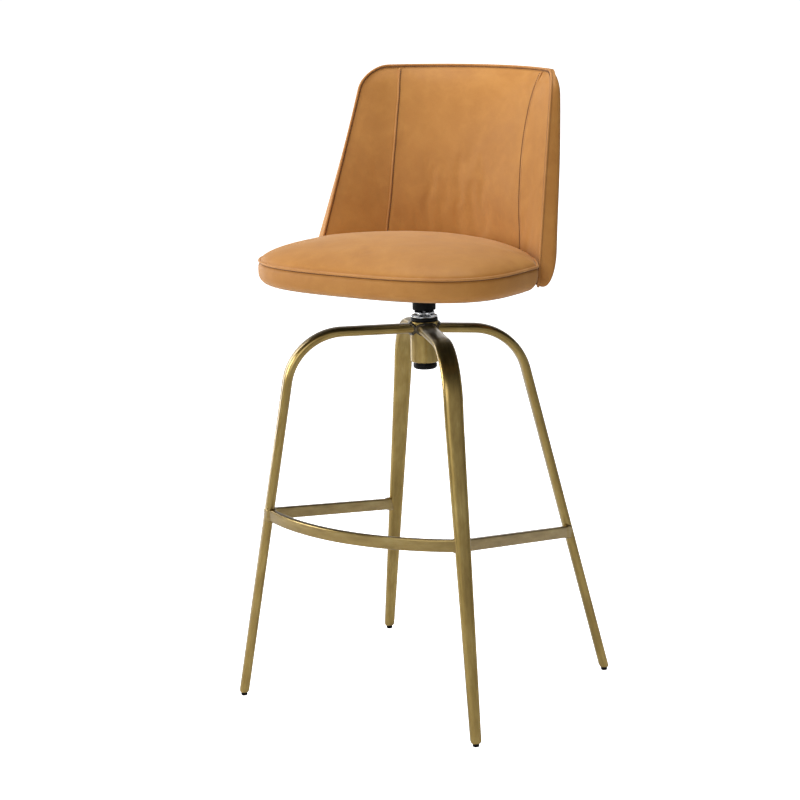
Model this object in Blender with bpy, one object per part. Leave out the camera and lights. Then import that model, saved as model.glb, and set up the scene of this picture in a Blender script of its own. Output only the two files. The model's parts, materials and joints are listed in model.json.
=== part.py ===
"""Swivelling bar stool: upholstered seat and curved back on a four-legged brass frame with a footrest.

Metres, +Z up, the sitter faces -Y and +X is the sitter's left. The swivel axis is vertical, at x = 0 and
y = AXIS_Y.
Every shape is built around the axis and moved there by the two parent empties.
"""

import math

import bmesh
import bpy
from mathutils import Vector

GAP = 0.0003
AXIS_Y = 0.0191

# Legs: a straight run out from the hub, one bend, then a straight splayed shank.
LEG_TOP_Z = 0.6072
LEG_HALF_THICK = 0.0074
LEG_HALF_WIDE_TOP = 0.0150
LEG_HALF_WIDE_FOOT = 0.0078
FRONT_LEG = {"azimuth": 44.7, "foot_r": 0.3176, "splay": 0.167, "droop": -0.004, "bend": 0.094}
REAR_LEG = {"azimuth": 46.8, "foot_r": 0.2988, "splay": 0.2465, "droop": 0.058, "bend": 0.094}
LEG_SIDES = 16
SIDE_LEAN = 0.018
SIDE_LEAN_FROM_Z = 0.50
BEND_STEPS = 10
SHANK_STEPS = 5
ROOT_GAP = 0.0004
FOOT_PLUG_TALL = 0.0060
FOOT_PLUG_HALF = 0.0052
LEG_END_TAPER_TALL = 0.0045

# Footrest: three flat bars, the front one bowed and higher than the rear ends of the side bars.
BAR_TALL = 0.0193
BAR_THICK = 0.0100
BAR_FRONT_Z = 0.3100
BAR_REAR_Z = 0.2507
FRONT_BAR_BOW = 0.0520
FRONT_BAR_STEPS = 20

# Hub and swivel stack, from the bottom up.
HUB_R = 0.0238
HUB_BORE_R = 0.0140
HUB_BOTTOM_Z = 0.5505
HUB_TOP_Z = 0.6190
SPINDLE_R = 0.0068
SPINDLE_TIP_R = 0.0050
SPINDLE_BOTTOM_Z = 0.5418
NUT_R = 0.0196
NUT_BOTTOM_Z = 0.5390
RUN_FIT = 0.0003
FLANGE_R = 0.0222
FLANGE_TALL = 0.0055
RACE_R = 0.0222
RACE_BOTTOM_Z = HUB_TOP_Z + GAP + FLANGE_TALL + GAP
RACE_FLOOR = 0.0012
RACE_RIM = 0.0026
BALL_COUNT = 6
BALL_PHASE = 0.57
BALL_R = 0.0050
BALL_RING_R = 0.0122
BALL_Z = RACE_BOTTOM_Z + RACE_FLOOR + GAP + BALL_R
SLEEVE_R = 0.0192
ROUND_STEPS = 36

# Seat.
SEAT_HALF_WIDE = 0.2335
SEAT_HALF_DEEP = 0.1580
SEAT_REAR_DEEP = 0.4000
SEAT_CENTRE_Y = -0.0690
SEAT_POWER = 2.8
SEAT_BACK_GAP = 0.0026
SEAT_PIPE_R = 0.0026
SEAT_PIPE_Z = 0.7268
SEAT_CROWN_Z = 0.7660
CROWN_RINGS = (1.0, 0.975, 0.94, 0.88, 0.79, 0.66, 0.50, 0.33, 0.16, 0.05)
CROWN_CENTRE_Y = -0.0510
CROWN_FLATNESS = 2.3
CROWN_SHOULDER = 0.72
SEAT_BOTTOM_Z = 0.6890
BAND_THICK = 0.0130
CLOTH_TALL = 0.0022
BOARD_TALL = 0.0060
BOARD_TOP_Z = SEAT_BOTTOM_Z + CLOTH_TALL + GAP + BOARD_TALL
LAYER_INSET = BAND_THICK + 0.0006
SEAT_POINTS = 64
PLATE_HALF = 0.0700
PLATE_THICK = 0.0030
BOLT_SPREAD = 0.0540
BOLT_R = 0.0030
BOLT_HEAD_R = 0.0060

# Backrest: a slab bent about vertical axes. Its front face at each height is the arc through two edge
# points and a centre point.
BACK_BOTTOM_Z = 0.6870
BACK_TOP_Z = 1.0215
BACK_EDGE_REF_Z = 0.7475
BACK_EDGE_X = 0.2110
BACK_EDGE_X_SLOPE = -0.1026
BACK_EDGE_Y = 0.0159
BACK_EDGE_Y_SLOPE = 0.3250
BACK_CENTRE_Y = ((0.68, 0.1235), (0.75, 0.1238), (0.80, 0.1248), (0.8625, 0.1297), (0.90, 0.1362),
                 (0.939, 0.1470), (0.9775, 0.1635), (1.03, 0.1930))
BACK_THICK = ((0.687, 0.0280), (0.775, 0.0290), (0.880, 0.0305), (0.950, 0.0275), (1.022, 0.0205))
BACK_CORNER_R = 0.0380
BACK_FOOT_CORNER_R = 0.0100
BACK_ROUND_OVER = 0.0090
BACK_FOOT_ROUND_OVER = 0.0190
BACK_PIPE_R = 0.0026
BACK_PIPE_INSET = 0.0015
BACK_PIPE_DEPTH = 0.0024
PANEL_THICK = 0.0050
SEAM_X = ((0.68, 0.1330), (0.75, 0.1305), (0.80, 0.1262), (0.8625, 0.1243), (0.90, 0.1243),
          (0.939, 0.1262), (0.9775, 0.1297), (1.03, 0.1400))
SEAM_GAP = 0.0006
LAYER_GAP = 0.0015
CORE_THICK = 0.0070
CORE_INSET = 0.0120
CORE_COLUMNS = 12
COVER_COLUMNS = 22


def material(name, colour, roughness, metallic):
    made = bpy.data.materials.new(name)
    made.use_nodes = True
    shader = made.node_tree.nodes["Principled BSDF"]
    shader.inputs["Base Color"].default_value = (*colour, 1.0)
    shader.inputs["Roughness"].default_value = roughness
    shader.inputs["Metallic"].default_value = metallic
    return made


def add_solid(name, points, faces, look, parent):
    """Makes one closed body from points and faces, with its faces turned outwards."""
    mesh = bpy.data.meshes.new(name)
    mesh.from_pydata([tuple(point) for point in points], [], faces)
    build = bmesh.new()
    build.from_mesh(mesh)
    bmesh.ops.recalc_face_normals(build, faces=build.faces)
    build.to_mesh(mesh)
    build.free()
    for face in mesh.polygons:
        face.use_smooth = True
    mesh.materials.append(look)
    made = bpy.data.objects.new(name, mesh)
    bpy.context.scene.collection.objects.link(made)
    made.parent = parent
    return made


def add_empty(name, z):
    made = bpy.data.objects.new(name, None)
    bpy.context.scene.collection.objects.link(made)
    made.location = (0, AXIS_Y, z)
    return made


def skin(loops, closed_along=False):
    """Faces between successive loops of equal length. Open ends are capped with one face each."""
    count = len(loops[0])
    points = [point for loop in loops for point in loop]
    faces = []
    last = len(loops) if closed_along else len(loops) - 1
    for i in range(last):
        a = i * count
        b = ((i + 1) % len(loops)) * count
        for j in range(count):
            k = (j + 1) % count
            faces.append((a + j, a + k, b + k, b + j))
    if not closed_along:
        faces.append(tuple(range(count - 1, -1, -1)))
        faces.append(tuple(range((len(loops) - 1) * count, len(loops) * count)))
    return points, faces


def turned(name, profile, look, parent, hollow, lift=0.0):
    """A body of revolution about the axis. A hollow one has a closed profile that stays clear of the axis."""
    loops = []
    for radius, z in profile:
        ring = []
        for i in range(ROUND_STEPS):
            angle = 2 * math.pi * i / ROUND_STEPS
            ring.append((radius * math.cos(angle), radius * math.sin(angle), z - lift))
        loops.append(ring)
    points, faces = skin(loops, closed_along=hollow)
    return add_solid(name, points, faces, look, parent)


def cut(target, cutter):
    cutter.hide_render = True
    cutter.display_type = "WIRE"
    modifier = target.modifiers.new("cut_" + cutter.name, "BOOLEAN")
    modifier.operation = "DIFFERENCE"
    modifier.solver = "EXACT"
    modifier.object = cutter


def between(table, z):
    """Smooth value of a (height, value) table at one height."""
    if z <= table[0][0]:
        return table[0][1]
    for i in range(len(table) - 1):
        z0, v0 = table[i]
        z1, v1 = table[i + 1]
        if z <= z1:
            before = table[i - 1] if i > 0 else table[i]
            after = table[i + 2] if i + 2 < len(table) else table[i + 1]
            slope0 = (v1 - before[1]) / (z1 - before[0])
            slope1 = (after[1] - v0) / (after[0] - z0)
            t = (z - z0) / (z1 - z0)
            span = z1 - z0
            return ((2 * t**3 - 3 * t**2 + 1) * v0 + (t**3 - 2 * t**2 + t) * span * slope0
                    + (3 * t**2 - 2 * t**3) * v1 + (t**3 - t**2) * span * slope1)
    return table[-1][1]


# ---- legs and footrest ----


def leg_path(leg):
    """Centre line of a leg from hub to foot, as (distance from the axis, height, downward tilt)."""
    top_drop = math.atan(leg["droop"])
    shank_drop = math.atan2(1, leg["splay"])
    knee_r = (leg["foot_r"] - leg["splay"] * LEG_TOP_Z) / (1 - leg["splay"] * leg["droop"])
    knee_z = LEG_TOP_Z - leg["droop"] * knee_r
    reach = leg["bend"] * math.tan((shank_drop - top_drop) / 2)
    start = (knee_r - reach * math.cos(top_drop), knee_z + reach * math.sin(top_drop))
    centre = (start[0] - leg["bend"] * math.sin(top_drop), start[1] - leg["bend"] * math.cos(top_drop))
    root_r = HUB_R + ROOT_GAP
    path = [(root_r, LEG_TOP_Z - leg["droop"] * root_r, top_drop)]
    for i in range(BEND_STEPS + 1):
        tilt = top_drop + (shank_drop - top_drop) * i / BEND_STEPS
        r = centre[0] + leg["bend"] * math.sin(tilt)
        z = centre[1] + leg["bend"] * math.cos(tilt)
        path.append((r, z, tilt))
    end_z = path[-1][1]
    low_z = FOOT_PLUG_TALL + LEG_END_TAPER_TALL
    for i in range(1, SHANK_STEPS + 1):
        z = end_z + (low_z - end_z) * i / SHANK_STEPS
        path.append((leg["foot_r"] - leg["splay"] * z, z, shank_drop))
    z = FOOT_PLUG_TALL + GAP
    path.append((leg["foot_r"] - leg["splay"] * z, z, shank_drop))
    return path


def leg_directions(leg, side, rear):
    azimuth = math.radians(leg["azimuth"])
    out = Vector((side * math.sin(azimuth), (1 if rear else -1) * math.cos(azimuth), 0))
    across = Vector((-out.y, out.x, 0))
    return out, across


def leg_centre(leg, side, rear, r, z):
    """Point of the centre line. The shank also leans a little sideways, away from the middle plane."""
    out, across = leg_directions(leg, side, rear)
    wider = across if (across.x > 0) == (side > 0) else -across
    lean = SIDE_LEAN * max(SIDE_LEAN_FROM_Z - z, 0)
    return out * r + wider * lean + Vector((0, 0, z))


def shank_centre(leg, side, rear, z):
    return leg_centre(leg, side, rear, leg["foot_r"] - leg["splay"] * z, z)


def oval(i, half_across, half_thick):
    """Point i of a flat oval: round ends joined by gently bowed faces."""
    angle = 2 * math.pi * i / LEG_SIDES
    c, s = math.cos(angle), math.sin(angle)
    power = 2 / 2.6
    return (math.copysign(abs(c) ** power, c) * half_across, math.copysign(abs(s) ** power, s) * half_thick)


def leg_loops(leg, side, rear, grow=0.0):
    out, across = leg_directions(leg, side, rear)
    path = leg_path(leg)
    top = path[BEND_STEPS][1]
    loops = []
    for index, (r, z, tilt) in enumerate(path):
        down = min(max((top - z) / top, 0), 1)
        wide = LEG_HALF_WIDE_TOP + (LEG_HALF_WIDE_FOOT - LEG_HALF_WIDE_TOP) * down
        thick = LEG_HALF_THICK
        is_end = index == len(path) - 1
        if is_end:
            wide *= 0.86
            thick *= 0.86
        normal = out * math.sin(tilt) + Vector((0, 0, math.cos(tilt)))
        if is_end or index == len(path) - 2:
            normal = out / math.sin(tilt)
        loop = []
        for i in range(LEG_SIDES):
            u, v = oval(i, wide + grow, thick + grow)
            point = leg_centre(leg, side, rear, r, z) + across * u + normal * v
            if index == 0:
                root_r = HUB_R + ROOT_GAP - grow
                point = out * math.sqrt(root_r**2 - u**2) + across * u + Vector((0, 0, z + v))
            loop.append(point)
        loops.append(loop)
    return loops


def coped_cap():
    """Root cap of a leg in strips across its section, so that it follows the round hub."""
    half = LEG_SIDES // 2
    faces = [(0, 1, LEG_SIDES - 1), (half - 1, half, half + 1)]
    for i in range(1, half - 1):
        faces.append((i, i + 1, LEG_SIDES - i - 1, LEG_SIDES - i))
    return faces


def add_leg(name, leg, side, rear, look, parent, grow=0.0):
    points, faces = skin(leg_loops(leg, side, rear, grow))
    root_cap = tuple(range(LEG_SIDES - 1, -1, -1))
    faces = [face for face in faces if face != root_cap] + coped_cap()
    return add_solid(name, points, faces, look, parent)


def add_foot_plug(name, leg, side, rear, look, parent):
    """A short glide under the end of the leg. Its underside is flat on the floor."""
    out, across = leg_directions(leg, side, rear)
    centre = shank_centre(leg, side, rear, FOOT_PLUG_TALL)
    centre.z = 0
    loops = []
    for z, scale in ((0.0, 0.80), (0.0012, 1.0), (FOOT_PLUG_TALL, 1.0)):
        ring = []
        for i in range(LEG_SIDES):
            u, v = oval(i, FOOT_PLUG_HALF * scale, FOOT_PLUG_HALF * scale)
            ring.append(centre + across * u + out * v + Vector((0, 0, z)))
        loops.append(ring)
    points, faces = skin(loops)
    return add_solid(name, points, faces, look, parent)


def bar_section(centre, across):
    """Rounded flat-bar section at one station: across is level, the tall side is vertical."""
    loop = []
    half_thick, half_tall, soft = BAR_THICK / 2, BAR_TALL / 2, 0.0028
    corners = ((1, 1), (-1, 1), (-1, -1), (1, -1))
    for quadrant, (sx, sz) in enumerate(corners):
        for step in range(3):
            angle = math.radians(90 * quadrant + 45 * step)
            u = sx * (half_thick - soft) + soft * math.cos(angle)
            v = sz * (half_tall - soft) + soft * math.sin(angle)
            loop.append(centre + across * u + Vector((0, 0, v)))
    return loop


def add_side_bar(name, side, look, parent):
    front = shank_centre(FRONT_LEG, side, False, BAR_FRONT_Z)
    rear = shank_centre(REAR_LEG, side, True, BAR_REAR_Z)
    along = (rear - front).normalized()
    across = Vector((along.y, -along.x, 0)).normalized()
    loops = [bar_section(front + (rear - front) * t, across) for t in (0, 0.25, 0.5, 0.75, 1)]
    points, faces = skin(loops)
    return add_solid(name, points, faces, look, parent)


def add_front_bar(name, look, parent):
    left = shank_centre(FRONT_LEG, 1, False, BAR_FRONT_Z)
    half = left.x
    radius = (half**2 + FRONT_BAR_BOW**2) / (2 * FRONT_BAR_BOW)
    reach = math.asin(half / radius)
    centre_y = left.y - FRONT_BAR_BOW + radius
    loops = []
    for i in range(FRONT_BAR_STEPS + 1):
        angle = reach * (2 * i / FRONT_BAR_STEPS - 1)
        out = Vector((math.sin(angle), -math.cos(angle), 0))
        centre = Vector((0, centre_y, BAR_FRONT_Z)) + out * radius
        loops.append(bar_section(centre, out))
    points, faces = skin(loops)
    return add_solid(name, points, faces, look, parent)


# ---- swivel ----


def add_swivel_base(looks, parent):
    turned("hub", [(HUB_BORE_R, HUB_BOTTOM_Z), (HUB_R - 0.0016, HUB_BOTTOM_Z), (HUB_R, HUB_BOTTOM_Z + 0.0016),
                   (HUB_R, HUB_TOP_Z - 0.0008), (HUB_R - 0.0008, HUB_TOP_Z), (HUB_BORE_R, HUB_TOP_Z)],
           looks["brass"], parent, True)
    bore = SPINDLE_R + RUN_FIT
    outer = HUB_BORE_R - GAP
    turned("hub_lower_bush", [(bore, HUB_BOTTOM_Z), (outer, HUB_BOTTOM_Z), (outer, HUB_BOTTOM_Z + 0.020),
                              (bore, HUB_BOTTOM_Z + 0.020)], looks["plastic"], parent, True)
    flange_bottom = HUB_TOP_Z + GAP
    flange_top = flange_bottom + FLANGE_TALL
    turned("hub_upper_bush", [(bore, HUB_TOP_Z - 0.020), (outer, HUB_TOP_Z - 0.020), (outer, flange_bottom),
                              (FLANGE_R, flange_bottom), (FLANGE_R, flange_top),
                              (bore, flange_top)], looks["plastic"], parent, True)
    floor = RACE_BOTTOM_Z + RACE_FLOOR
    rim = RACE_BOTTOM_Z + RACE_RIM
    turned("bearing_race", [(bore, RACE_BOTTOM_Z), (RACE_R - 0.0006, RACE_BOTTOM_Z),
                            (RACE_R, RACE_BOTTOM_Z + 0.0006), (RACE_R, rim), (RACE_R - 0.0010, rim),
                            (RACE_R - 0.0034, floor), (bore, floor)],
           looks["chrome"], parent, True)


def add_balls(look, parent):
    """One ring of bearing balls held in a thin cage, as a single body."""
    cage = turned("bearing_balls", [(BALL_RING_R - 0.0016, BALL_Z - 0.0008),
                                    (BALL_RING_R + 0.0016, BALL_Z - 0.0008),
                                    (BALL_RING_R + 0.0016, BALL_Z + 0.0008),
                                    (BALL_RING_R - 0.0016, BALL_Z + 0.0008)],
                  look, parent, True)
    build = bmesh.new()
    for i in range(BALL_COUNT):
        angle = 2 * math.pi * (i + BALL_PHASE) / BALL_COUNT
        made = bmesh.ops.create_uvsphere(build, u_segments=12, v_segments=8, radius=BALL_R)
        bmesh.ops.translate(build, verts=made["verts"],
                            vec=(BALL_RING_R * math.cos(angle), BALL_RING_R * math.sin(angle), BALL_Z))
    mesh = bpy.data.meshes.new("ball_set")
    build.to_mesh(mesh)
    build.free()
    balls = bpy.data.objects.new("ball_set", mesh)
    bpy.context.scene.collection.objects.link(balls)
    balls.parent = parent
    balls.hide_render = True
    balls.display_type = "WIRE"
    union = cage.modifiers.new("balls", "BOOLEAN")
    union.operation = "UNION"
    union.solver = "EXACT"
    union.object = balls


def add_swivel_top(looks, parent, lift):
    plate_bottom = SEAT_BOTTOM_Z - GAP - PLATE_THICK
    sleeve_bottom = BALL_Z + BALL_R + GAP
    turned("spindle", [(SPINDLE_TIP_R, SPINDLE_BOTTOM_Z), (SPINDLE_R, SPINDLE_BOTTOM_Z + 0.002),
                       (SPINDLE_R, plate_bottom - GAP)], looks["steel"], parent, False, lift)
    bore = SPINDLE_R + GAP
    turned("spindle_nut", [(bore, SPINDLE_BOTTOM_Z + 0.0010), (bore, HUB_BOTTOM_Z - GAP),
                           (NUT_R, HUB_BOTTOM_Z - GAP),
                           (NUT_R, NUT_BOTTOM_Z + 0.0014), (NUT_R - 0.0014, NUT_BOTTOM_Z),
                           (0.0010, NUT_BOTTOM_Z), (0.0010, SPINDLE_BOTTOM_Z - GAP),
                           (SPINDLE_TIP_R + GAP, SPINDLE_BOTTOM_Z - GAP)], looks["plastic"], parent, True, lift)
    turned("swivel_sleeve", [(bore, sleeve_bottom), (SLEEVE_R - 0.0012, sleeve_bottom),
                             (SLEEVE_R, sleeve_bottom + 0.0012), (SLEEVE_R, plate_bottom - GAP),
                             (bore, plate_bottom - GAP)], looks["plastic"], parent, True, lift)


# ---- seat ----


def back_arc(z):
    """Radius, centre y and half angle of the backrest's front face at one height."""
    edge_x = BACK_EDGE_X + BACK_EDGE_X_SLOPE * (z - BACK_EDGE_REF_Z)
    edge_y = BACK_EDGE_Y + BACK_EDGE_Y_SLOPE * (z - BACK_EDGE_REF_Z)
    sagitta = between(BACK_CENTRE_Y, z) - edge_y
    radius = (edge_x**2 + sagitta**2) / (2 * sagitta)
    centre_y = edge_y + sagitta - radius
    half_angle = math.atan2(edge_x, edge_y - centre_y)
    return radius, centre_y, half_angle


def seat_reach(direction, z):
    """Distance from the seat's centre to its edge in one direction, trimmed where the backrest hugs it."""
    c, s = math.cos(direction), math.sin(direction)
    deep = SEAT_REAR_DEEP if s > 0 else SEAT_HALF_DEEP
    reach = (abs(c / SEAT_HALF_WIDE) ** SEAT_POWER + abs(s / deep) ** SEAT_POWER) ** (-1 / SEAT_POWER)
    radius, centre_y, _ = back_arc(z)
    radius -= SEAT_BACK_GAP
    offset = SEAT_CENTRE_Y - centre_y
    along = -offset * s + math.sqrt(max(radius**2 - (offset * c) ** 2, 0))
    return min(reach, along)


def seat_loop(z, inset):
    """Seat outline at one height, moved in by an inset. The backrest's shape is taken at the same height."""
    base = []
    for i in range(SEAT_POINTS):
        direction = 2 * math.pi * i / SEAT_POINTS
        reach = seat_reach(direction, z)
        base.append(Vector((reach * math.cos(direction), SEAT_CENTRE_Y + reach * math.sin(direction), z)))
    loop = []
    for i in range(SEAT_POINTS):
        along = (base[(i + 1) % SEAT_POINTS] - base[i - 1]).normalized()
        inward = Vector((-along.y, along.x, 0))
        loop.append(base[i] + inward * inset)
    return loop


def scaled_loop(loop, scale, z):
    return [Vector((p.x * scale, CROWN_CENTRE_Y + (p.y - CROWN_CENTRE_Y) * scale, z)) for p in loop]


def lowered(loops, lift):
    return [[(p[0], p[1], p[2] - lift) for p in loop] for loop in loops]


def add_seat_cushion(look, parent, lift):
    """Foam block that fills the band, steps out over it and rises to a crown."""
    foot = BOARD_TOP_Z + GAP
    neck = SEAT_PIPE_Z - SEAT_PIPE_R - GAP
    rim = SEAT_PIPE_Z + SEAT_PIPE_R + GAP
    core_inset = BAND_THICK + 0.0010
    loops = [seat_loop(foot, core_inset), seat_loop(neck, core_inset), seat_loop(SEAT_PIPE_Z, core_inset),
             seat_loop(rim, 0.0070), seat_loop(rim + 0.0002, 0.0030)]
    edge_z = rim + 0.0006
    edge = seat_loop(rim, 0.0016)
    for scale in CROWN_RINGS:
        rise = (SEAT_CROWN_Z - edge_z) * (1 - scale**CROWN_FLATNESS) ** CROWN_SHOULDER
        loops.append(scaled_loop(edge, scale, edge_z + rise))
    points, faces = skin(lowered(loops, lift))
    return add_solid("seat_cushion", points, faces, look, parent)


def add_seat_band(look, parent, lift):
    """Upholstered border under the piping. Its lower edge rolls in under the seat."""
    top = SEAT_PIPE_Z - SEAT_PIPE_R - GAP
    profile = ((BAND_THICK, top), (0.0050, top), (0.0012, top - 0.0004), (-0.0004, top - 0.0040),
               (-0.0008, top - 0.0120),
               (-0.0002, top - 0.0210), (0.0020, top - 0.0275), (0.0060, top - 0.0322),
               (0.0105, SEAT_BOTTOM_Z + 0.0004), (BAND_THICK, SEAT_BOTTOM_Z))
    loops = [seat_loop(z, inset) for inset, z in profile]
    points, faces = skin(lowered(loops, lift), closed_along=True)
    return add_solid("seat_band", points, faces, look, parent)


def pipe_loops(path, radius, sides=8):
    """Loops of a round cord along a closed path of points."""
    loops = []
    count = len(path)
    for i in range(count):
        along = (path[(i + 1) % count] - path[i - 1]).normalized()
        side = along.cross(Vector((0, 0, 1)))
        if side.length < 0.3:
            side = along.cross(Vector((0, 1, 0)))
        side.normalize()
        up = side.cross(along).normalized()
        ring = []
        for j in range(sides):
            angle = 2 * math.pi * j / sides
            ring.append(path[i] + (side * math.cos(angle) + up * math.sin(angle)) * radius)
        loops.append(ring)
    return loops


def add_seat_piping(look, parent, lift):
    path = seat_loop(SEAT_PIPE_Z, 0.0008)
    points, faces = skin(lowered(pipe_loops(path, SEAT_PIPE_R), lift), closed_along=True)
    return add_solid("seat_piping", points, faces, look, parent)


def add_seat_layer(name, bottom, top, inset, look, parent, lift):
    points, faces = skin(lowered([seat_loop(bottom, inset), seat_loop(top, inset)], lift))
    return add_solid(name, points, faces, look, parent)


def add_plate(look, parent, lift):
    top = SEAT_BOTTOM_Z - GAP - lift
    bottom = top - PLATE_THICK
    half, soft = PLATE_HALF, 0.012
    ring = []
    for quadrant, (sx, sy) in enumerate(((1, 1), (-1, 1), (-1, -1), (1, -1))):
        for step in range(5):
            angle = math.radians(90 * quadrant + 22.5 * step)
            x = sx * (half - soft) + soft * math.cos(angle)
            y = sy * (half - soft) + soft * math.sin(angle)
            ring.append((x, y))
    loops = [[(x, y, z) for x, y in ring] for z in (bottom, top)]
    points, faces = skin(loops)
    return add_solid("swivel_plate", points, faces, look, parent)


def bolt_places():
    return [(sx * BOLT_SPREAD, sy * BOLT_SPREAD) for sx in (1, -1) for sy in (1, -1)]


def disc_loop(x, y, z, radius, sides=16):
    angles = [2 * math.pi * i / sides for i in range(sides)]
    return [(x + radius * math.cos(angle), y + radius * math.sin(angle), z) for angle in angles]


def add_plate_bolts(look, parent, lift):
    head_top = SEAT_BOTTOM_Z - GAP - PLATE_THICK - GAP - lift
    tip = BOARD_TOP_Z - GAP - lift
    for index, (x, y) in enumerate(bolt_places()):
        loops = [disc_loop(x, y, head_top - 0.0034, BOLT_HEAD_R - 0.0014),
                 disc_loop(x, y, head_top - 0.0020, BOLT_HEAD_R),
                 disc_loop(x, y, head_top, BOLT_HEAD_R),
                 disc_loop(x, y, head_top, BOLT_R),
                 disc_loop(x, y, tip, BOLT_R)]
        points, faces = skin(loops)
        add_solid(f"plate_bolt_{index + 1}", points, faces, look, parent)


def add_bolt_cutter(parent, lift):
    points, faces = [], []
    for x, y in bolt_places():
        loops = [disc_loop(x, y, SEAT_BOTTOM_Z + end - lift, BOLT_R + GAP) for end in (-0.02, 0.02)]
        more, walls = skin(loops)
        faces += [tuple(i + len(points) for i in face) for face in walls]
        points += more
    return add_solid("bolt_holes", points, faces, None, parent)


# ---- backrest ----


def back_thick(z):
    return between(BACK_THICK, z)


def back_point(across, z, depth):
    """Point of the slab, at the length across from the middle of its front face and at a depth behind it."""
    radius, centre_y, _ = back_arc(z)
    angle = across / radius
    return Vector(((radius + depth) * math.sin(angle), centre_y + (radius + depth) * math.cos(angle), z))


def back_half(z):
    radius, _, half_angle = back_arc(z)
    return radius * half_angle


def back_side_limit(z, inset):
    """Half length across at one height, with the rounded top and bottom corners of the outline."""
    limit = back_half(z) - inset
    for end_z, corner in ((BACK_TOP_Z, BACK_CORNER_R), (BACK_BOTTOM_Z, BACK_FOOT_CORNER_R)):
        depth = abs(end_z - z) - inset
        soft = max(corner - inset, 0.002)
        if depth < soft:
            limit -= soft - math.sqrt(max(soft**2 - (soft - depth) ** 2, 0))
    return limit


def back_levels(inset):
    """Heights of the rows of the slab, closer together in the rounded corners."""
    low, high = BACK_BOTTOM_Z + inset, BACK_TOP_Z - inset
    top_soft = BACK_CORNER_R - min(inset, BACK_CORNER_R - 0.002)
    low_soft = max(BACK_FOOT_CORNER_R - inset, 0.002)
    levels = [low + low_soft * (1 - math.cos(math.radians(a))) for a in (0, 25, 50, 90)]
    count = 8
    for i in range(1, count):
        levels.append(levels[3] + (high - top_soft - levels[3]) * i / count)
    levels += [high - top_soft * (1 - math.cos(math.radians(a))) for a in (90, 65, 45, 28, 12, 0)]
    return levels


def rounded_drop(distance, radius):
    """How far a rounded edge falls away at a distance in from it."""
    if distance >= radius:
        return 0.0
    return radius - math.sqrt(max(radius**2 - (radius - distance) ** 2, 0))


def slab(front_depth, back_depth, inset, span, columns, rounded=False):
    """Closed curved slab between two depths. span gives the across limits at a height, front and back."""
    levels = back_levels(inset)
    front, back = [], []
    for z in levels:
        low, high = span(z)
        row_front, row_back = [], []
        for j in range(columns + 1):
            t = j / columns
            across = low + (high - low) * t
            drop = 0.0
            if rounded:
                side = rounded_drop(min(across - low, high - across, levels[-1] - z), BACK_ROUND_OVER)
                drop = max(side, rounded_drop(z - levels[0], BACK_FOOT_ROUND_OVER))
            row_front.append(back_point(across, z, front_depth))
            row_back.append(back_point(across, z, back_depth(z) - drop))
        front.append(row_front)
        back.append(row_back)
    return front, back


def slab_mesh(front, back):
    rows, cols = len(front), len(front[0])
    points = [p for row in front for p in row] + [p for row in back for p in row]
    shift = rows * cols
    faces = []
    for i in range(rows - 1):
        for j in range(cols - 1):
            a = i * cols + j
            faces.append((a, a + 1, a + cols + 1, a + cols))
            faces.append((shift + a, shift + a + cols, shift + a + cols + 1, shift + a + 1))
    rim = [j for j in range(cols)]
    rim += [i * cols + cols - 1 for i in range(1, rows)]
    rim += [(rows - 1) * cols + j for j in range(cols - 2, -1, -1)]
    rim += [i * cols for i in range(rows - 2, 0, -1)]
    for i, a in enumerate(rim):
        b = rim[(i + 1) % len(rim)]
        faces.append((a, b, b + shift, a + shift))
    return points, faces


def add_slab(name, front_depth, back_depth, inset, span, columns, look, parent, lift, rounded=False):
    front, back = slab(front_depth, back_depth, inset, span, columns, rounded)
    points, faces = slab_mesh(front, back)
    points = [(p.x, p.y, p.z - lift) for p in points]
    return add_solid(name, points, faces, look, parent)


def seam_across(z):
    radius, _, _ = back_arc(z)
    return radius * math.asin(between(SEAM_X, z) / radius)


def add_back_panels(look, parent, lift):
    """Three front panels, divided by two upright seams."""
    inset = BACK_PIPE_INSET + BACK_PIPE_R + 2 * GAP

    def centre(z):
        reach = seam_across(z) - SEAM_GAP / 2
        return -reach, reach

    def left(z):
        return seam_across(z) + SEAM_GAP / 2, back_side_limit(z, inset)

    def right(z):
        return -back_side_limit(z, inset), -seam_across(z) - SEAM_GAP / 2

    for name, span, columns in (("back_panel_centre", centre, 10), ("back_panel_left", left, 4),
                                ("back_panel_right", right, 4)):
        add_slab(name, 0.0, lambda z: PANEL_THICK, inset, span, columns, look, parent, lift)


def full_span(inset):
    """Across limits of a layer that reaches both sides."""
    return lambda z: (-back_side_limit(z, inset), back_side_limit(z, inset))


def add_back_core(look, parent, lift):
    """Bent plywood board inside the backrest."""
    add_slab("back_core", PANEL_THICK + LAYER_GAP, lambda z: PANEL_THICK + LAYER_GAP + CORE_THICK, CORE_INSET,
             full_span(CORE_INSET), CORE_COLUMNS, look, parent, lift)


def add_back_cover(look, parent, lift):
    """Padded outer cover: a shallow tray that holds the core and forms the border and the rear face."""
    cover = add_slab("back_cover", PANEL_THICK + LAYER_GAP, back_thick, 0.0,
                     full_span(0.0), COVER_COLUMNS, look, parent, lift, True)
    inset = CORE_INSET - 2 * LAYER_GAP
    cutter = add_slab("core_pocket", -0.004, lambda z: PANEL_THICK + CORE_THICK + 3 * LAYER_GAP, inset,
                      full_span(inset), CORE_COLUMNS, look, parent, lift)
    cut(cover, cutter)


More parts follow.
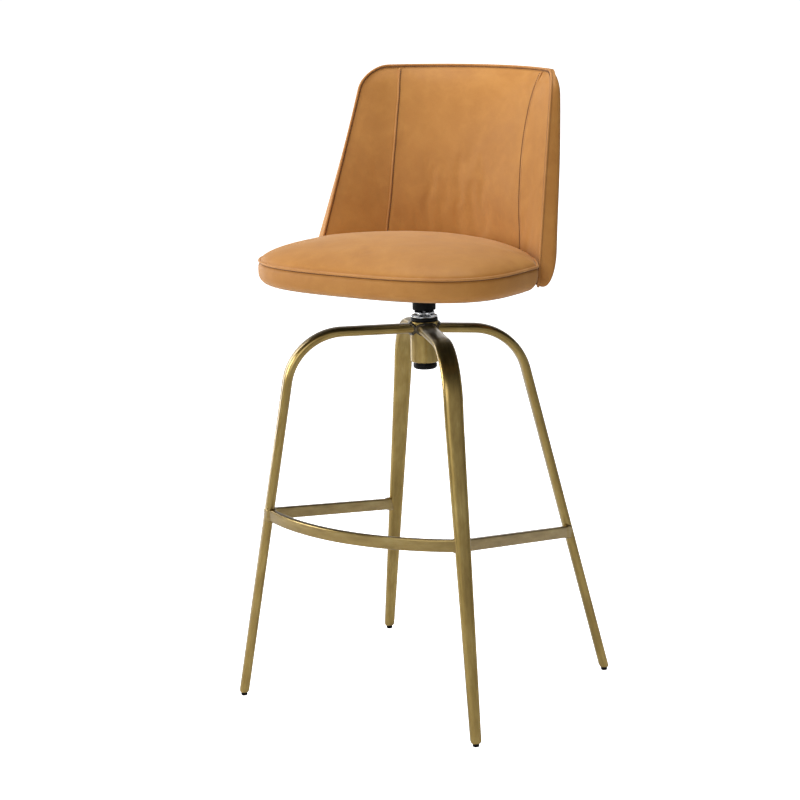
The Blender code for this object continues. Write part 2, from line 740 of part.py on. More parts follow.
def add_back_piping(look, parent, lift):
    """Round cord along the front edge of the backrest."""
    depth = BACK_PIPE_DEPTH
    levels = back_levels(BACK_PIPE_INSET)
    path = []
    columns = 22
    low = back_side_limit(levels[0], BACK_PIPE_INSET)
    high = back_side_limit(levels[-1], BACK_PIPE_INSET)
    for j in range(columns):
        path.append(back_point(-low + 2 * low * j / columns, levels[0], depth))
    for z in levels[:-1]:
        path.append(back_point(back_side_limit(z, BACK_PIPE_INSET), z, depth))
    for j in range(columns):
        path.append(back_point(high - 2 * high * j / columns, levels[-1], depth))
    for z in reversed(levels[1:]):
        path.append(back_point(-back_side_limit(z, BACK_PIPE_INSET), z, depth))
    loops = []
    for i, here in enumerate(path):
        along = (path[(i + 1) % len(path)] - path[i - 1]).normalized()
        radius, centre_y, _ = back_arc(here.z)
        face = Vector((here.x, here.y - centre_y, 0)).normalized()
        side = along.cross(face).normalized()
        face = side.cross(along).normalized()
        ring = []
        for j in range(8):
            angle = 2 * math.pi * j / 8
            ring.append(here + (side * math.cos(angle) + face * math.sin(angle)) * BACK_PIPE_R)
        loops.append(ring)
    points, faces = skin(lowered(loops, lift), closed_along=True)
    return add_solid("back_piping", points, faces, look, parent)


def build():
    for old in list(bpy.data.objects):
        bpy.data.objects.remove(old)
    looks = {
        "leather": material("leather", (0.52, 0.26, 0.10), 0.62, 0.0),
        "brass": material("antique_brass", (0.32, 0.23, 0.10), 0.34, 1.0),
        "plastic": material("black_plastic", (0.015, 0.015, 0.016), 0.45, 0.0),
        "chrome": material("chrome", (0.72, 0.73, 0.75), 0.18, 1.0),
        "steel": material("steel", (0.45, 0.45, 0.46), 0.38, 1.0),
        "wood": material("plywood", (0.55, 0.38, 0.21), 0.70, 0.0),
        "cloth": material("black_fabric", (0.02, 0.02, 0.022), 0.9, 0.0),
    }
    base = add_empty("base_frame", 0.0)
    seat_lift = SEAT_BOTTOM_Z
    seat = add_empty("seat_swivel_axis", seat_lift)

    legs = (("leg_front_left", FRONT_LEG, 1, False), ("leg_front_right", FRONT_LEG, -1, False),
            ("leg_rear_left", REAR_LEG, 1, True), ("leg_rear_right", REAR_LEG, -1, True))
    cutters = {}
    for name, leg, side, rear in legs:
        add_leg(name, leg, side, rear, looks["brass"], base)
        add_foot_plug(name.replace("leg", "foot_plug"), leg, side, rear, looks["plastic"], base)
        cutters[name] = add_leg(name + "_clearance", leg, side, rear, None, base, GAP)
    front_bar = add_front_bar("footrest_front_bar", looks["brass"], base)
    cut(front_bar, cutters["leg_front_left"])
    cut(front_bar, cutters["leg_front_right"])
    for name, side in (("left", 1), ("right", -1)):
        bar = add_side_bar(f"footrest_{name}_bar", side, looks["brass"], base)
        cut(bar, cutters[f"leg_front_{name}"])
        cut(bar, cutters[f"leg_rear_{name}"])
    add_swivel_base(looks, base)
    add_balls(looks["chrome"], base)

    add_swivel_top(looks, seat, seat_lift)
    add_seat_cushion(looks["leather"], seat, seat_lift)
    add_seat_band(looks["leather"], seat, seat_lift)
    add_seat_piping(looks["leather"], seat, seat_lift)
    plate = add_plate(looks["steel"], seat, seat_lift)
    cloth = add_seat_layer("seat_base_cloth", SEAT_BOTTOM_Z, SEAT_BOTTOM_Z + CLOTH_TALL, LAYER_INSET,
                           looks["cloth"], seat, seat_lift)
    board = add_seat_layer("seat_board", BOARD_TOP_Z - BOARD_TALL, BOARD_TOP_Z, LAYER_INSET,
                           looks["wood"], seat, seat_lift)
    holes = add_bolt_cutter(seat, seat_lift)
    for piece in (plate, cloth, board):
        cut(piece, holes)
    add_plate_bolts(looks["steel"], seat, seat_lift)
    add_back_panels(looks["leather"], seat, seat_lift)
    add_back_core(looks["wood"], seat, seat_lift)
    add_back_cover(looks["leather"], seat, seat_lift)
    add_back_piping(looks["leather"], seat, seat_lift)


build()
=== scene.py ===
"""Looks of the swivelling bar stool: fine metalwork, sewn tan leather, studio light and camera.

Metres, +Z up, the sitter faces -Y and +X is the sitter's left. Shapes are built about the swivel axis
and moved onto it by piece().
"""

import json
import math

import bmesh
import bpy
from mathutils import Matrix, Vector, noise


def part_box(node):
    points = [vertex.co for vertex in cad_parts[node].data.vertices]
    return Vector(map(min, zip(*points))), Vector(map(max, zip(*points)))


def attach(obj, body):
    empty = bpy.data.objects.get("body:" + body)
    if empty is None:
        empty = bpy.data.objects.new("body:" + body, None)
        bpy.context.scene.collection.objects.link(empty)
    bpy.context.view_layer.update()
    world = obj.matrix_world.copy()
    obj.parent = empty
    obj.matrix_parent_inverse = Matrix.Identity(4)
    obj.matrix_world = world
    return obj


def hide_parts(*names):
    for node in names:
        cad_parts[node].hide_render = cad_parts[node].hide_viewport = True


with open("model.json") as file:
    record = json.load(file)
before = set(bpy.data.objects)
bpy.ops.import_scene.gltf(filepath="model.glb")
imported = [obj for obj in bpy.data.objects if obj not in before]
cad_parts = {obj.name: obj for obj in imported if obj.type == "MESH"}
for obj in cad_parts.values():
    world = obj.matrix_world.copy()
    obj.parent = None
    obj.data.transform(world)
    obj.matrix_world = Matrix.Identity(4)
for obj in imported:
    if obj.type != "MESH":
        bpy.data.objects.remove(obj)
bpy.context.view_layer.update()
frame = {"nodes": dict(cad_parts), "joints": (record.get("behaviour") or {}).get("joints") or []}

AXIS = Vector((0, frame["joints"][0]["pos_m"][1], 0))
BASE, SEAT = "base", "seat"
SIDES = (("left", 1), ("right", -1))
TOUCH = 0.0003

# Legs: a straight run out from the hub, one bend, then a straight splayed shank, as in the frame.
HUB_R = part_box("hub")[1].x
LEG_TOP_Z = 0.6072
LEG_HALF_THICK = 0.0079
LEG_HALF_WIDE_TOP = 0.0155
LEG_HALF_WIDE_FOOT = 0.0087
FRONT_LEG = {"azimuth": 44.7, "foot_r": 0.3176, "splay": 0.167, "droop": -0.004, "bend": 0.094}
REAR_LEG = {"azimuth": 46.8, "foot_r": 0.2988, "splay": 0.2465, "droop": 0.058, "bend": 0.094}
LEGS = {"front_left": (FRONT_LEG, 1, False), "front_right": (FRONT_LEG, -1, False),
        "rear_left": (REAR_LEG, 1, True), "rear_right": (REAR_LEG, -1, True)}
LEG_SIDES = 56
LEG_SUPERELLIPSE = 2.6
SIDE_LEAN = 0.018
SIDE_LEAN_FROM_Z = 0.50
ROOT_STEPS = 12
BEND_STEPS = 48
SHANK_STEPS = 40
FOOT_PLUG_TALL = 0.0060
FOOT_PLUG_HALF = 0.0052
LEG_END_TAPER_TALL = 0.0045
LEG_END_NARROWING = 0.14
LEG_LEVEL_END_FROM_Z = 0.06
LEG_LEVEL_END_TALL = 0.05
WELD_HALF_WIDE = 0.0027
WELD_HALF_TALL = 0.0021
WELD_CLEAR_OF_LEG = 0.0006
WELD_CLEAR_OF_HUB = 0.0005

# Footrest bars.
BAR_TALL = 0.0198
BAR_THICK = 0.0100
BAR_SOFT = 0.0026
BAR_FLARE_FROM = 0.0115
BAR_FLARE_LONG = 0.0045
BAR_FLARE_TALL = 0.16
BAR_FLARE_WIDE = 0.10
BAR_REAR_SHIFT = 0.0070
FRONT_BAR_WRAP = 0.72
BAR_FRONT_Z = 0.3100
BAR_REAR_Z = 0.2488
FRONT_BAR_BOW = 0.0520

# Seat outline, crown and piping.
SEAT_HALF_WIDE = 0.2327
SEAT_HALF_DEEP = 0.1580
SEAT_REAR_DEEP = 0.4000
SEAT_CENTRE_Y = -0.0690
SEAT_POWER = 2.8
SEAT_BACK_GAP = 0.0014
SEAT_CORNER_SOFT = 0.0008
SEAT_PIPE_R = 0.0023
SEAT_PIPE_Z = 0.7268
SEAT_BOTTOM_Z = 0.6890
SEAT_CROWN_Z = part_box("seat_cushion")[1].z
CROWN_CENTRE_Y = -0.0510
CROWN_FLATNESS = 2.5
CROWN_SHOULDER = 0.62
CUSHION_INSET = 0.0030
CUSHION_RIM_LIFT = 0.0012
CUSHION_DEEP = 0.006
CUSHION_SWELL = 0.0022
CUSHION_CELLS = 84
BAND_THICK = 0.0130
SEAT_PIPE_INSET = 0.0015
SEAT_SEAM_INSET = 0.0022
SEAT_POINTS = 360
TRIM_POINTS = 540
STAPLE_PITCH = 0.024
STAPLE_HALF_LONG = 0.0048

# Backrest: the arc through two edge points and a centre point at each height.
BACK_BOTTOM_Z = 0.6885
BACK_TOP_Z = 1.0215
BACK_EDGE_REF_Z = 0.7475
BACK_EDGE_X = 0.2110
BACK_EDGE_X_SLOPE = -0.1026
BACK_EDGE_Y = 0.0159
BACK_EDGE_Y_SLOPE = 0.3250
BACK_CENTRE_Y = ((0.68, 0.1235), (0.75, 0.1238), (0.80, 0.1248), (0.8625, 0.1297), (0.90, 0.1362),
                 (0.939, 0.1470), (0.9775, 0.1635), (1.03, 0.1930))
BACK_THICK = ((0.687, 0.0290), (0.775, 0.0285), (0.880, 0.0275), (0.950, 0.0235), (1.022, 0.0160))
BACK_CORNER_R = 0.0380
BACK_FOOT_CORNER_R = 0.0150
BACK_ENDS = ((BACK_TOP_Z, BACK_CORNER_R), (BACK_BOTTOM_Z, BACK_FOOT_CORNER_R))
BACK_ROUND_OVER = 0.0090
BACK_FOOT_TUCK_TALL = 0.0520
BACK_FOOT_TUCK_DEEP = 0.0210
BACK_PIPE_R = 0.0020
BACK_PIPE_INSET = 0.0010
BACK_PIPE_DEPTH = 0.0022
BACK_TOP_LEAN = 0.0065
BACK_TOP_LEAN_FROM = 0.9850
PANEL_INSET = 0.0037
PANEL_THICK = 0.0042
PANEL_ROLL = 0.0016
PANEL_SOFT_ROLL = 0.0220
PANEL_SOFT_DROP = 0.0024
COVER_FRONT = 0.0030
COVER_SHOULDER = 0.0078
COVER_INSET = 0.0013
SEAM_X = ((0.68, 0.1330), (0.75, 0.1305), (0.80, 0.1262), (0.8625, 0.1243), (0.90, 0.1243),
          (0.939, 0.1262), (0.9775, 0.1297), (1.03, 0.1400))
WELT_WIDE = 0.0040
WELT_HALF_TALL = 0.0014
BACK_STITCH_INSET = PANEL_INSET - 0.0002
REAR_SEAM_INSET = 0.0135
REAR_STITCH_INSET = 0.0172

# Cords and stitches: how much they shrink at their ends, and the length from one stitch to the next.
END_TAPER = 0.35
STITCH_PITCH = 0.0032

# Studio: brightness of the backdrop, horizontal direction of the bright rear strip, the point that every lamp
# faces, and the camera's place round that point.
BACKDROP = 1.05
FAR_SIDE = (-0.56, 0.83, 0.0)
FLOOR_HALF = 14.0
LAMP_AIM = Vector((0, 0, 0.6))
CAMERA_AZIMUTH = 0.5943
CAMERA_PITCH = 0.1979
CAMERA_ROLL = -0.0197
CAMERA_DISTANCE = 3.6831
CAMERA_AIM_Z = 0.552


# ---- node helpers ----


class Nodes:
    """A node tree being wired up."""

    def __init__(self, tree):
        self.tree = tree

    def add(self, kind, inputs=None, **settings):
        node = self.tree.nodes.new("ShaderNode" + kind)
        for key, value in settings.items():
            setattr(node, key, value)
        for socket, value in (inputs or {}).items():
            self.feed(node.inputs[socket], value)
        return node

    def feed(self, socket, value):
        if isinstance(value, bpy.types.NodeSocket):
            self.tree.links.new(value, socket)
        else:
            socket.default_value = value

    def place(self, scale=(1, 1, 1), attribute=None):
        """Object coordinates, or a vector stored on the mesh, stretched by a scale."""
        if attribute:
            source = self.add("Attribute", attribute_name=attribute).outputs["Vector"]
        else:
            source = self.add("TexCoord").outputs["Object"]
        return self.add("Mapping", {"Vector": source, "Scale": scale}).outputs["Vector"]

    def noise(self, where, scale, detail=3.0, rough=0.55, distortion=0.0):
        return self.add("TexNoise", {"Vector": where, "Scale": scale, "Detail": detail, "Roughness": rough,
                                     "Distortion": distortion}).outputs["Fac"]

    def ramp(self, value, stops):
        """Colour, or grey level, that goes through (place, colour or level) stops."""
        node = self.add("ValToRGB", {"Fac": value})
        elements = node.color_ramp.elements
        while len(elements) < len(stops):
            elements.new(0.5)
        for element, (place, colour) in zip(elements, stops):
            element.position = place
            element.color = (*colour, 1.0) if hasattr(colour, "__len__") else (colour, colour, colour, 1.0)
        return node.outputs["Color"]

    def math(self, operation, *values):
        return self.add("Math", dict(enumerate(values)), operation=operation).outputs[0]

    def remap(self, value, low, high):
        return self.add("MapRange", {"Value": value, "To Min": low, "To Max": high}).outputs["Result"]

    def blend(self, share, a, b, mode="MIX"):
        node = self.add("Mix", data_type="RGBA", blend_type=mode)
        colours = [socket for socket in node.inputs if socket.type == "RGBA"]
        for socket, value in ((node.inputs["Factor"], share), (colours[0], a), (colours[1], b)):
            self.feed(socket, value)
        return next(socket for socket in node.outputs if socket.type == "RGBA")

    def bump(self, height, distance, strength=1.0, under=None):
        inputs = {"Height": height, "Distance": distance, "Strength": strength}
        if under is not None:
            inputs["Normal"] = under
        return self.add("Bump", inputs).outputs["Normal"]


class Surface(Nodes):
    """A Principled material being wired up. Constants are socket names with _ for each space."""

    def __init__(self, name, metallic=0.0, roughness=0.5, **constants):
        self.material = bpy.data.materials.new(name)
        self.material.use_nodes = True
        super().__init__(self.material.node_tree)
        self.shader = self.tree.nodes["Principled BSDF"]
        for socket, value in {"Metallic": metallic, "Roughness": roughness, **constants}.items():
            self.shader.inputs[socket.replace("_", " ")].default_value = value

    def finish(self, colour, roughness=None, normal=None):
        for socket, value in (("Base Color", colour), ("Roughness", roughness), ("Normal", normal)):
            if value is not None:
                self.feed(self.shader.inputs[socket], value)
        return self.material


def leather(name, dark, mid, light):
    """Matte nubuck-like leather: soft clouding, fine grain, faint lighter rubs."""
    s = Surface(name, roughness=0.6, Specular_IOR_Level=0.32, Sheen_Weight=0.22, Sheen_Roughness=0.40,
                Sheen_Tint=(1.0, 0.88, 0.70, 1.0))
    where = s.place()
    cloud = s.noise(where, 9.0, 4.0, 0.62, 0.6)
    colour = s.ramp(cloud, ((0.30, dark), (0.52, mid), (0.74, light)))
    blotch = s.noise(where, 46.0, 4.0, 0.60, 0.3)
    colour = s.blend(s.remap(blotch, 0.0, 0.56), colour, s.ramp(blotch, ((0.35, dark), (0.65, light))))
    fine = s.noise(where, 900.0, 2.0, 0.6)
    colour = s.blend(0.18, colour, s.ramp(fine, ((0.3, 0.35), (0.7, 0.65))), "SOFT_LIGHT")
    cells = s.add("TexVoronoi", {"Vector": where, "Scale": 760.0}, feature="DISTANCE_TO_EDGE")
    grain = s.bump(cells.outputs["Distance"], 0.00016, 0.30)
    grain = s.bump(fine, 0.00010, 0.35, grain)
    grain = s.bump(s.noise(where, 70.0, 3.0, 0.5), 0.0009, 0.22, grain)
    return s.finish(colour, s.remap(blotch, 0.52, 0.70), grain)


def brass(name, dim, mid, bright):
    """Antique brass under clear lacquer, finely brushed along the stored direction, with darker patches."""
    s = Surface(name, metallic=1.0, roughness=0.3, Coat_Weight=0.40, Coat_Roughness=0.12, Coat_IOR=1.55)
    along = s.place((1.0, 1.0, 0.012), "flow")
    broad = s.place((1.0, 1.0, 0.30), "flow")
    hair = s.noise(along, 2600.0, 2.0, 0.6)
    streak = s.noise(along, 600.0, 3.0, 0.6)
    patch = s.noise(broad, 70.0, 4.0, 0.6)
    colour = s.ramp(patch, ((0.26, dim), (0.52, mid), (0.78, bright)))
    colour = s.blend(0.22, colour, s.ramp(streak, ((0.3, 0.36), (0.7, 0.64))), "OVERLAY")
    colour = s.blend(0.16, colour, s.ramp(hair, ((0.3, 0.38), (0.7, 0.62))), "OVERLAY")
    rough = s.math("ADD", s.remap(streak, 0.25, 0.34), s.remap(hair, -0.02, 0.04))
    return s.finish(colour, rough, s.bump(hair, 0.00003, 0.25))


def plain_metal(name, dark, light, rough, grain_scale=420.0):
    s = Surface(name, metallic=1.0)
    where = s.place()
    cloud = s.noise(where, 60.0, 3.0)
    grain = s.noise(where, grain_scale, 3.0)
    colour = s.ramp(cloud, ((0.3, dark), (0.7, light)))
    return s.finish(colour, s.remap(grain, rough[0], rough[1]), s.bump(grain, 0.00008, 0.12))


def moulded(name, colour, rough, grain_scale=900.0, grain=0.4):
    """Black plastic or rubber with a fine spark-eroded grain."""
    s = Surface(name, Specular_IOR_Level=0.12)
    where = s.place()
    speckle = s.noise(where, grain_scale, 3.0, 0.7)
    cloud = s.noise(where, 40.0)
    paler = [c * 1.8 + 0.001 for c in colour]
    shade = s.ramp(cloud, ((0.3, colour), (0.75, paler)))
    return s.finish(shade, s.remap(speckle, rough[0], rough[1]), s.bump(speckle, 0.00020, grain))


def thread(name, colour):
    s = Surface(name, roughness=0.55)
    where = s.place()
    twist = s.noise(where, 1500.0, 2.0)
    lighter = [c * 1.9 for c in colour]
    return s.finish(s.ramp(twist, ((0.3, colour), (0.7, lighter))), None, s.bump(twist, 0.00010, 0.5))


def lining(name):
    """Thin black non-woven cloth with a pressed dot pattern."""
    s = Surface(name, roughness=0.92, Sheen_Weight=0.2)
    where = s.place()
    dots = s.add("TexVoronoi", {"Vector": where, "Scale": 480.0, "Randomness": 0.25})
    fibre = s.noise(where, 260.0, 5.0, 0.7)
    colour = s.ramp(fibre, ((0.3, (0.012, 0.012, 0.013)), (0.7, (0.045, 0.045, 0.048))))
    return s.finish(colour, None, s.bump(dots.outputs["Distance"], 0.0003, 0.6, s.bump(fibre, 0.0002, 0.4)))


def wood(name):
    s = Surface(name, roughness=0.62)
    rings = s.noise(s.place((1.0, 14.0, 60.0)), 9.0, 4.0, 0.6, 0.4)
    colour = s.ramp(rings, ((0.3, (0.34, 0.21, 0.10)), (0.7, (0.60, 0.43, 0.25))))
    return s.finish(colour, None, s.bump(rings, 0.0003, 0.3))


LOOKS = {
    "leather": leather("tan_leather", (0.385, 0.158, 0.029), (0.440, 0.190, 0.038), (0.500, 0.232, 0.053)),
    # Piping leather is lighter than the panels: partly rub wear on the raised cords and lips, partly a
    # painted highlight on them.
    "piping": leather("tan_leather_piping_worn_and_painted_highlight", (0.400, 0.168, 0.040), (0.480, 0.214, 0.057),
                      (0.540, 0.260, 0.078)),
    "brass": brass("antique_brass", (0.250, 0.165, 0.045), (0.335, 0.232, 0.068), (0.440, 0.322, 0.108)),
    # The footrest bars use a darker copy of the same brass as the legs: painted shade.
    "painted_shade_bar_brass": brass("antique_brass_bars_painted_darker", (0.205, 0.138, 0.042), (0.285, 0.200, 0.066),
                       (0.380, 0.282, 0.104)),
    "weld": brass("weld_brass", (0.010, 0.008, 0.005), (0.045, 0.033, 0.016), (0.220, 0.170, 0.085)),
    "chrome": plain_metal("chrome", (0.60, 0.61, 0.63), (0.80, 0.81, 0.83), (0.05, 0.16)),
    "steel": plain_metal("zinc_steel", (0.34, 0.34, 0.35), (0.56, 0.56, 0.57), (0.28, 0.46), 240.0),
    "plastic": moulded("black_plastic", (0.0020, 0.0020, 0.0022), (0.32, 0.52)),
    "sleeve": moulded("black_knurled", (0.0018, 0.0018, 0.0020), (0.40, 0.62), 600.0, 0.4),
    "thread": thread("dark_thread", (0.070, 0.026, 0.008)),
    "cloth": lining("black_lining"),
    "wood": wood("plywood"),
}


# ---- mesh helpers ----


def up(height):
    return Vector((0, 0, height))


def new_mesh(name, points, faces):
    """A mesh with all its faces turned outwards."""
    mesh = bpy.data.meshes.new(name)
    mesh.from_pydata(points, [], faces)
    build = bmesh.new()
    build.from_mesh(mesh)
    bmesh.ops.recalc_face_normals(build, faces=build.faces)
    build.to_mesh(mesh)
    build.free()
    return mesh


def new_object(name, data):
    made = bpy.data.objects.new(name, data)
    bpy.context.scene.collection.objects.link(made)
    return made


def piece(name, shape, look, body, stands_for=(), flow=None, crease=38.0):
    """A new visible piece, from (points, faces) about the swivel axis, which rides on one body."""
    points, faces = shape
    mesh = new_mesh(name, [Vector(point) + AXIS for point in points], faces)
    if flow:
        stored = mesh.attributes.new("flow", "FLOAT_VECTOR", "POINT")
        stored.data.foreach_set("vector", [value for vector in flow for value in vector])
    mesh.shade_smooth()
    mesh.set_sharp_from_angle(angle=math.radians(crease))
    mesh.materials.append(LOOKS[look])
    made = new_object(name, mesh)
    if stands_for:
        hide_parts(*stands_for)
    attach(made, body)
    return made


def leather_pad(name, shape, node, crease=60.0):
    """A stuffed leather piece of the seat or back, which stands for one CAD node."""
    piece(name, shape, "leather", SEAT, [node], crease=crease)


def skin(loops, closed_along=False):
    """Faces between successive loops of equal length. Open ends are capped with one face each."""
    count = len(loops[0])
    points = [point for loop in loops for point in loop]
    faces = []
    last = len(loops) if closed_along else len(loops) - 1
    for i in range(last):
        a = i * count
        b = ((i + 1) % len(loops)) * count
        for j in range(count):
            k = (j + 1) % count
            faces.append((a + j, a + k, b + k, b + j))
    if not closed_along:
        faces.append(tuple(range(count - 1, -1, -1)))
        faces.append(tuple(range((len(loops) - 1) * count, len(loops) * count)))
    return points, faces


def joined(parts):
    """Several (points, faces) as one."""
    points, faces = [], []
    for more, walls in parts:
        faces += [tuple(i + len(points) for i in face) for face in walls]
        points += list(more)
    return points, faces


def softened(profile, radius, steps=4):
    """A closed outline with each corner turned into a short curve."""
    made = []
    count = len(profile)
    for i, corner in enumerate(profile):
        corner = Vector(corner)
        before, after = Vector(profile[i - 1]), Vector(profile[(i + 1) % count])
        back = min(radius, (before - corner).length * 0.45)
        ahead = min(radius, (after - corner).length * 0.45)
        start = corner + (before - corner).normalized() * back
        end = corner + (after - corner).normalized() * ahead
        for step in range(steps + 1):
            t = step / steps
            made.append(start * (1 - t) ** 2 + corner * (2 * t * (1 - t)) + end * t**2)
    return made


def turns(count):
    """Angles evenly round a circle."""
    return [2 * math.pi * i / count for i in range(count)]


def turned_loops(profile, steps=96, x=0.0, y=0.0):
    """One circle of points for each (radius, height) of a profile."""
    return [[(x + r * math.cos(a), y + r * math.sin(a), z) for a in turns(steps)] for r, z in profile]


def turned(name, profile, look, body, stands_for, soft=0.0006):
    """A ring-shaped body of revolution about the swivel axis, from a closed outline with soft corners."""
    points, faces = skin(turned_loops(softened(profile, soft)), closed_along=True)
    return piece(name, (points, faces), look, body, stands_for, flow=points)


def between(table, z):
    """Smooth value of a (height, value) table at one height."""
    if z <= table[0][0]:
        return table[0][1]
    for i in range(len(table) - 1):
        z0, v0 = table[i]
        z1, v1 = table[i + 1]
        if z <= z1:
            before = table[i - 1] if i > 0 else table[i]
            after = table[i + 2] if i + 2 < len(table) else table[i + 1]
            slope0 = (v1 - before[1]) / (z1 - before[0])
            slope1 = (after[1] - v0) / (after[0] - z0)
            t = (z - z0) / (z1 - z0)
            span = z1 - z0
            return ((2 * t**3 - 3 * t**2 + 1) * v0 + (t**3 - 2 * t**2 + t) * span * slope0
                    + (3 * t**2 - 2 * t**3) * v1 + (t**3 - t**2) * span * slope1)
    return table[-1][1]


def eased(t):
    t = min(max(t, 0.0), 1.0)
    return t * t * (3 - 2 * t)


def wave(u, v, scale, height, seed):
    """Height of a smooth unevenness at a place. scale is in waves for each metre."""
    return noise.noise((u * scale, v * scale, seed)) * height


def rounded_drop(distance, radius):
    """How far a rounded edge falls away at a distance in from it."""
    if distance >= radius:
        return 0.0
    return radius - math.sqrt(max(radius**2 - (radius - max(distance, 0.0)) ** 2, 0))


def oval_ring(centre, side, out, half_wide, half_tall, sides):
    return [centre + side * (math.cos(a) * half_wide) + out * (math.sin(a) * half_tall) for a in turns(sides)]


def cord(path, facing, half_wide, half_tall, sides=12, closed=True, ripple=None):
    """An oval cord along a path. facing gives the outward direction at each point. An open cord tapers at its
    ends."""
    loops = []
    last = len(path) - 1
    for i, here in enumerate(path):
        before, after = (i - 1, (i + 1) % len(path)) if closed else (max(i - 1, 0), min(i + 1, last))
        along = (path[after] - path[before]).normalized()
        side = along.cross(facing[i]).normalized()
        out = side.cross(along).normalized()
        grow = ripple(i) if ripple else 1.0
        if not closed and i in (0, last):
            grow = END_TAPER
        loops.append(oval_ring(here, side, out, half_wide * grow, half_tall * grow, sides))
    return skin(loops, closed)


def evenly(path, spacing, closed=False):
    """Points, and their source index, at a constant spacing along a path."""
    line = list(path) + ([path[0]] if closed else [])
    made, carried = [], 0.0
    for i in range(len(line) - 1):
        a, b = line[i], line[i + 1]
        length = (b - a).length
        while carried < length:
            made.append((a + (b - a) * (carried / length), i))
            carried += spacing
        carried -= length
    return made


def stitches(path, facing, radius=0.00042, closed=False, fill=0.68, sides=6):
    """A row of short raised stitches along a path."""
    marks = evenly(path, STITCH_PITCH, closed)
    parts = []
    for (here, i), (beyond, _) in zip(marks, marks[1:]):
        step = beyond - here
        out = facing[min(i, len(facing) - 1)]
        side = step.cross(out).normalized()
        loops = []
        for t in (0.0, 0.12, 0.5, 0.88, 1.0):
            middle = here + step * (t * fill) + out * (radius * 1.2 * math.sin(math.pi * t))
            size = radius * (END_TAPER if t in (0.0, 1.0) else 1.0)
            loops.append(oval_ring(middle, side, out, size, size, sides))
        parts.append(skin(loops))
    return joined(parts)


def inflate(points, faces, pinned, pressure, cap, frames=20):
    """Lets a closed mesh swell as cloth and returns its points. Pinned points stay, and no point moves
    further than the cap."""
    mesh = new_mesh("swelling", points, faces)
    cloth_object = new_object("swelling", mesh)
    group = cloth_object.vertex_groups.new(name="pinned")
    group.add(pinned, 1.0, "REPLACE")
    cloth = cloth_object.modifiers.new("swell", "CLOTH")
    for setting, value in {"quality": 6, "mass": 0.4, "tension_stiffness": 25.0,
                           "compression_stiffness": 25.0, "shear_stiffness": 15.0, "bending_stiffness": 2.0,
                           "vertex_group_mass": "pinned", "use_pressure": True,
                           "uniform_pressure_force": pressure}.items():
        setattr(cloth.settings, setting, value)
    cloth.settings.effector_weights.gravity = 0.0
    cloth.collision_settings.use_collision = False
    for step in range(1, frames + 1):
        bpy.context.scene.frame_set(step)
    swollen = cloth_object.evaluated_get(bpy.context.evaluated_depsgraph_get())
    moved = []
    for start, vertex in zip(points, swollen.data.vertices):
        shift = vertex.co - Vector(start)
        if shift.length > cap:
            shift *= cap / shift.length
        moved.append(Vector(start) + shift)
    bpy.data.objects.remove(cloth_object)
    bpy.data.meshes.remove(mesh)
    return moved


# ---- legs and footrest ----


def leg_path(leg):
    """Centre line of a leg from hub to foot, as (distance from the axis, height, downward tilt) stations, and
    the index of the last one in its bend."""
    top_drop = math.atan(leg["droop"])
    shank_drop = math.atan2(1, leg["splay"])
    knee_r = (leg["foot_r"] - leg["splay"] * LEG_TOP_Z) / (1 - leg["splay"] * leg["droop"])
    knee_z = LEG_TOP_Z - leg["droop"] * knee_r
    reach = leg["bend"] * math.tan((shank_drop - top_drop) / 2)
    start = (knee_r - reach * math.cos(top_drop), knee_z + reach * math.sin(top_drop))
    centre = (start[0] - leg["bend"] * math.sin(top_drop), start[1] - leg["bend"] * math.cos(top_drop))
    root_r = HUB_R - TOUCH
    path = [(root_r, LEG_TOP_Z - leg["droop"] * root_r, top_drop)]
    for i in range(1, ROOT_STEPS):
        r = root_r + (start[0] - root_r) * i / ROOT_STEPS
        path.append((r, LEG_TOP_Z - leg["droop"] * r, top_drop))
    for i in range(BEND_STEPS + 1):
        tilt = top_drop + (shank_drop - top_drop) * i / BEND_STEPS
        r = centre[0] + leg["bend"] * math.sin(tilt)
        path.append((r, centre[1] + leg["bend"] * math.cos(tilt), tilt))
    bend_end = len(path) - 1
    end_z = path[-1][1]
    low_z = FOOT_PLUG_TALL + LEG_END_TAPER_TALL
    for i in range(1, SHANK_STEPS + 1):
        z = end_z + (low_z - end_z) * i / SHANK_STEPS
        path.append((leg["foot_r"] - leg["splay"] * z, z, shank_drop))
    return path, bend_end


def leg_directions(leg, side, rear):
    azimuth = math.radians(leg["azimuth"])
    out = Vector((side * math.sin(azimuth), (1 if rear else -1) * math.cos(azimuth), 0))
    return out, Vector((-out.y, out.x, 0))


def leg_centre(leg, side, rear, r, z):
    """Point of the centre line. The shank also leans a little sideways, away from the middle plane."""
    out, across = leg_directions(leg, side, rear)
    wider = across if (across.x > 0) == (side > 0) else -across
    return out * r + wider * (SIDE_LEAN * max(SIDE_LEAN_FROM_Z - z, 0)) + up(z)


def shank_centre(leg, side, rear, z):
    return leg_centre(leg, side, rear, leg["foot_r"] - leg["splay"] * z, z)


def oval(turn, half_across, half_thick):
    """Point of a flat oval: round ends joined by gently bowed faces."""
    c, s = math.cos(turn), math.sin(turn)
    power = 2 / LEG_SUPERELLIPSE
    return (math.copysign(abs(c) ** power, c) * half_across, math.copysign(abs(s) ** power, s) * half_thick)


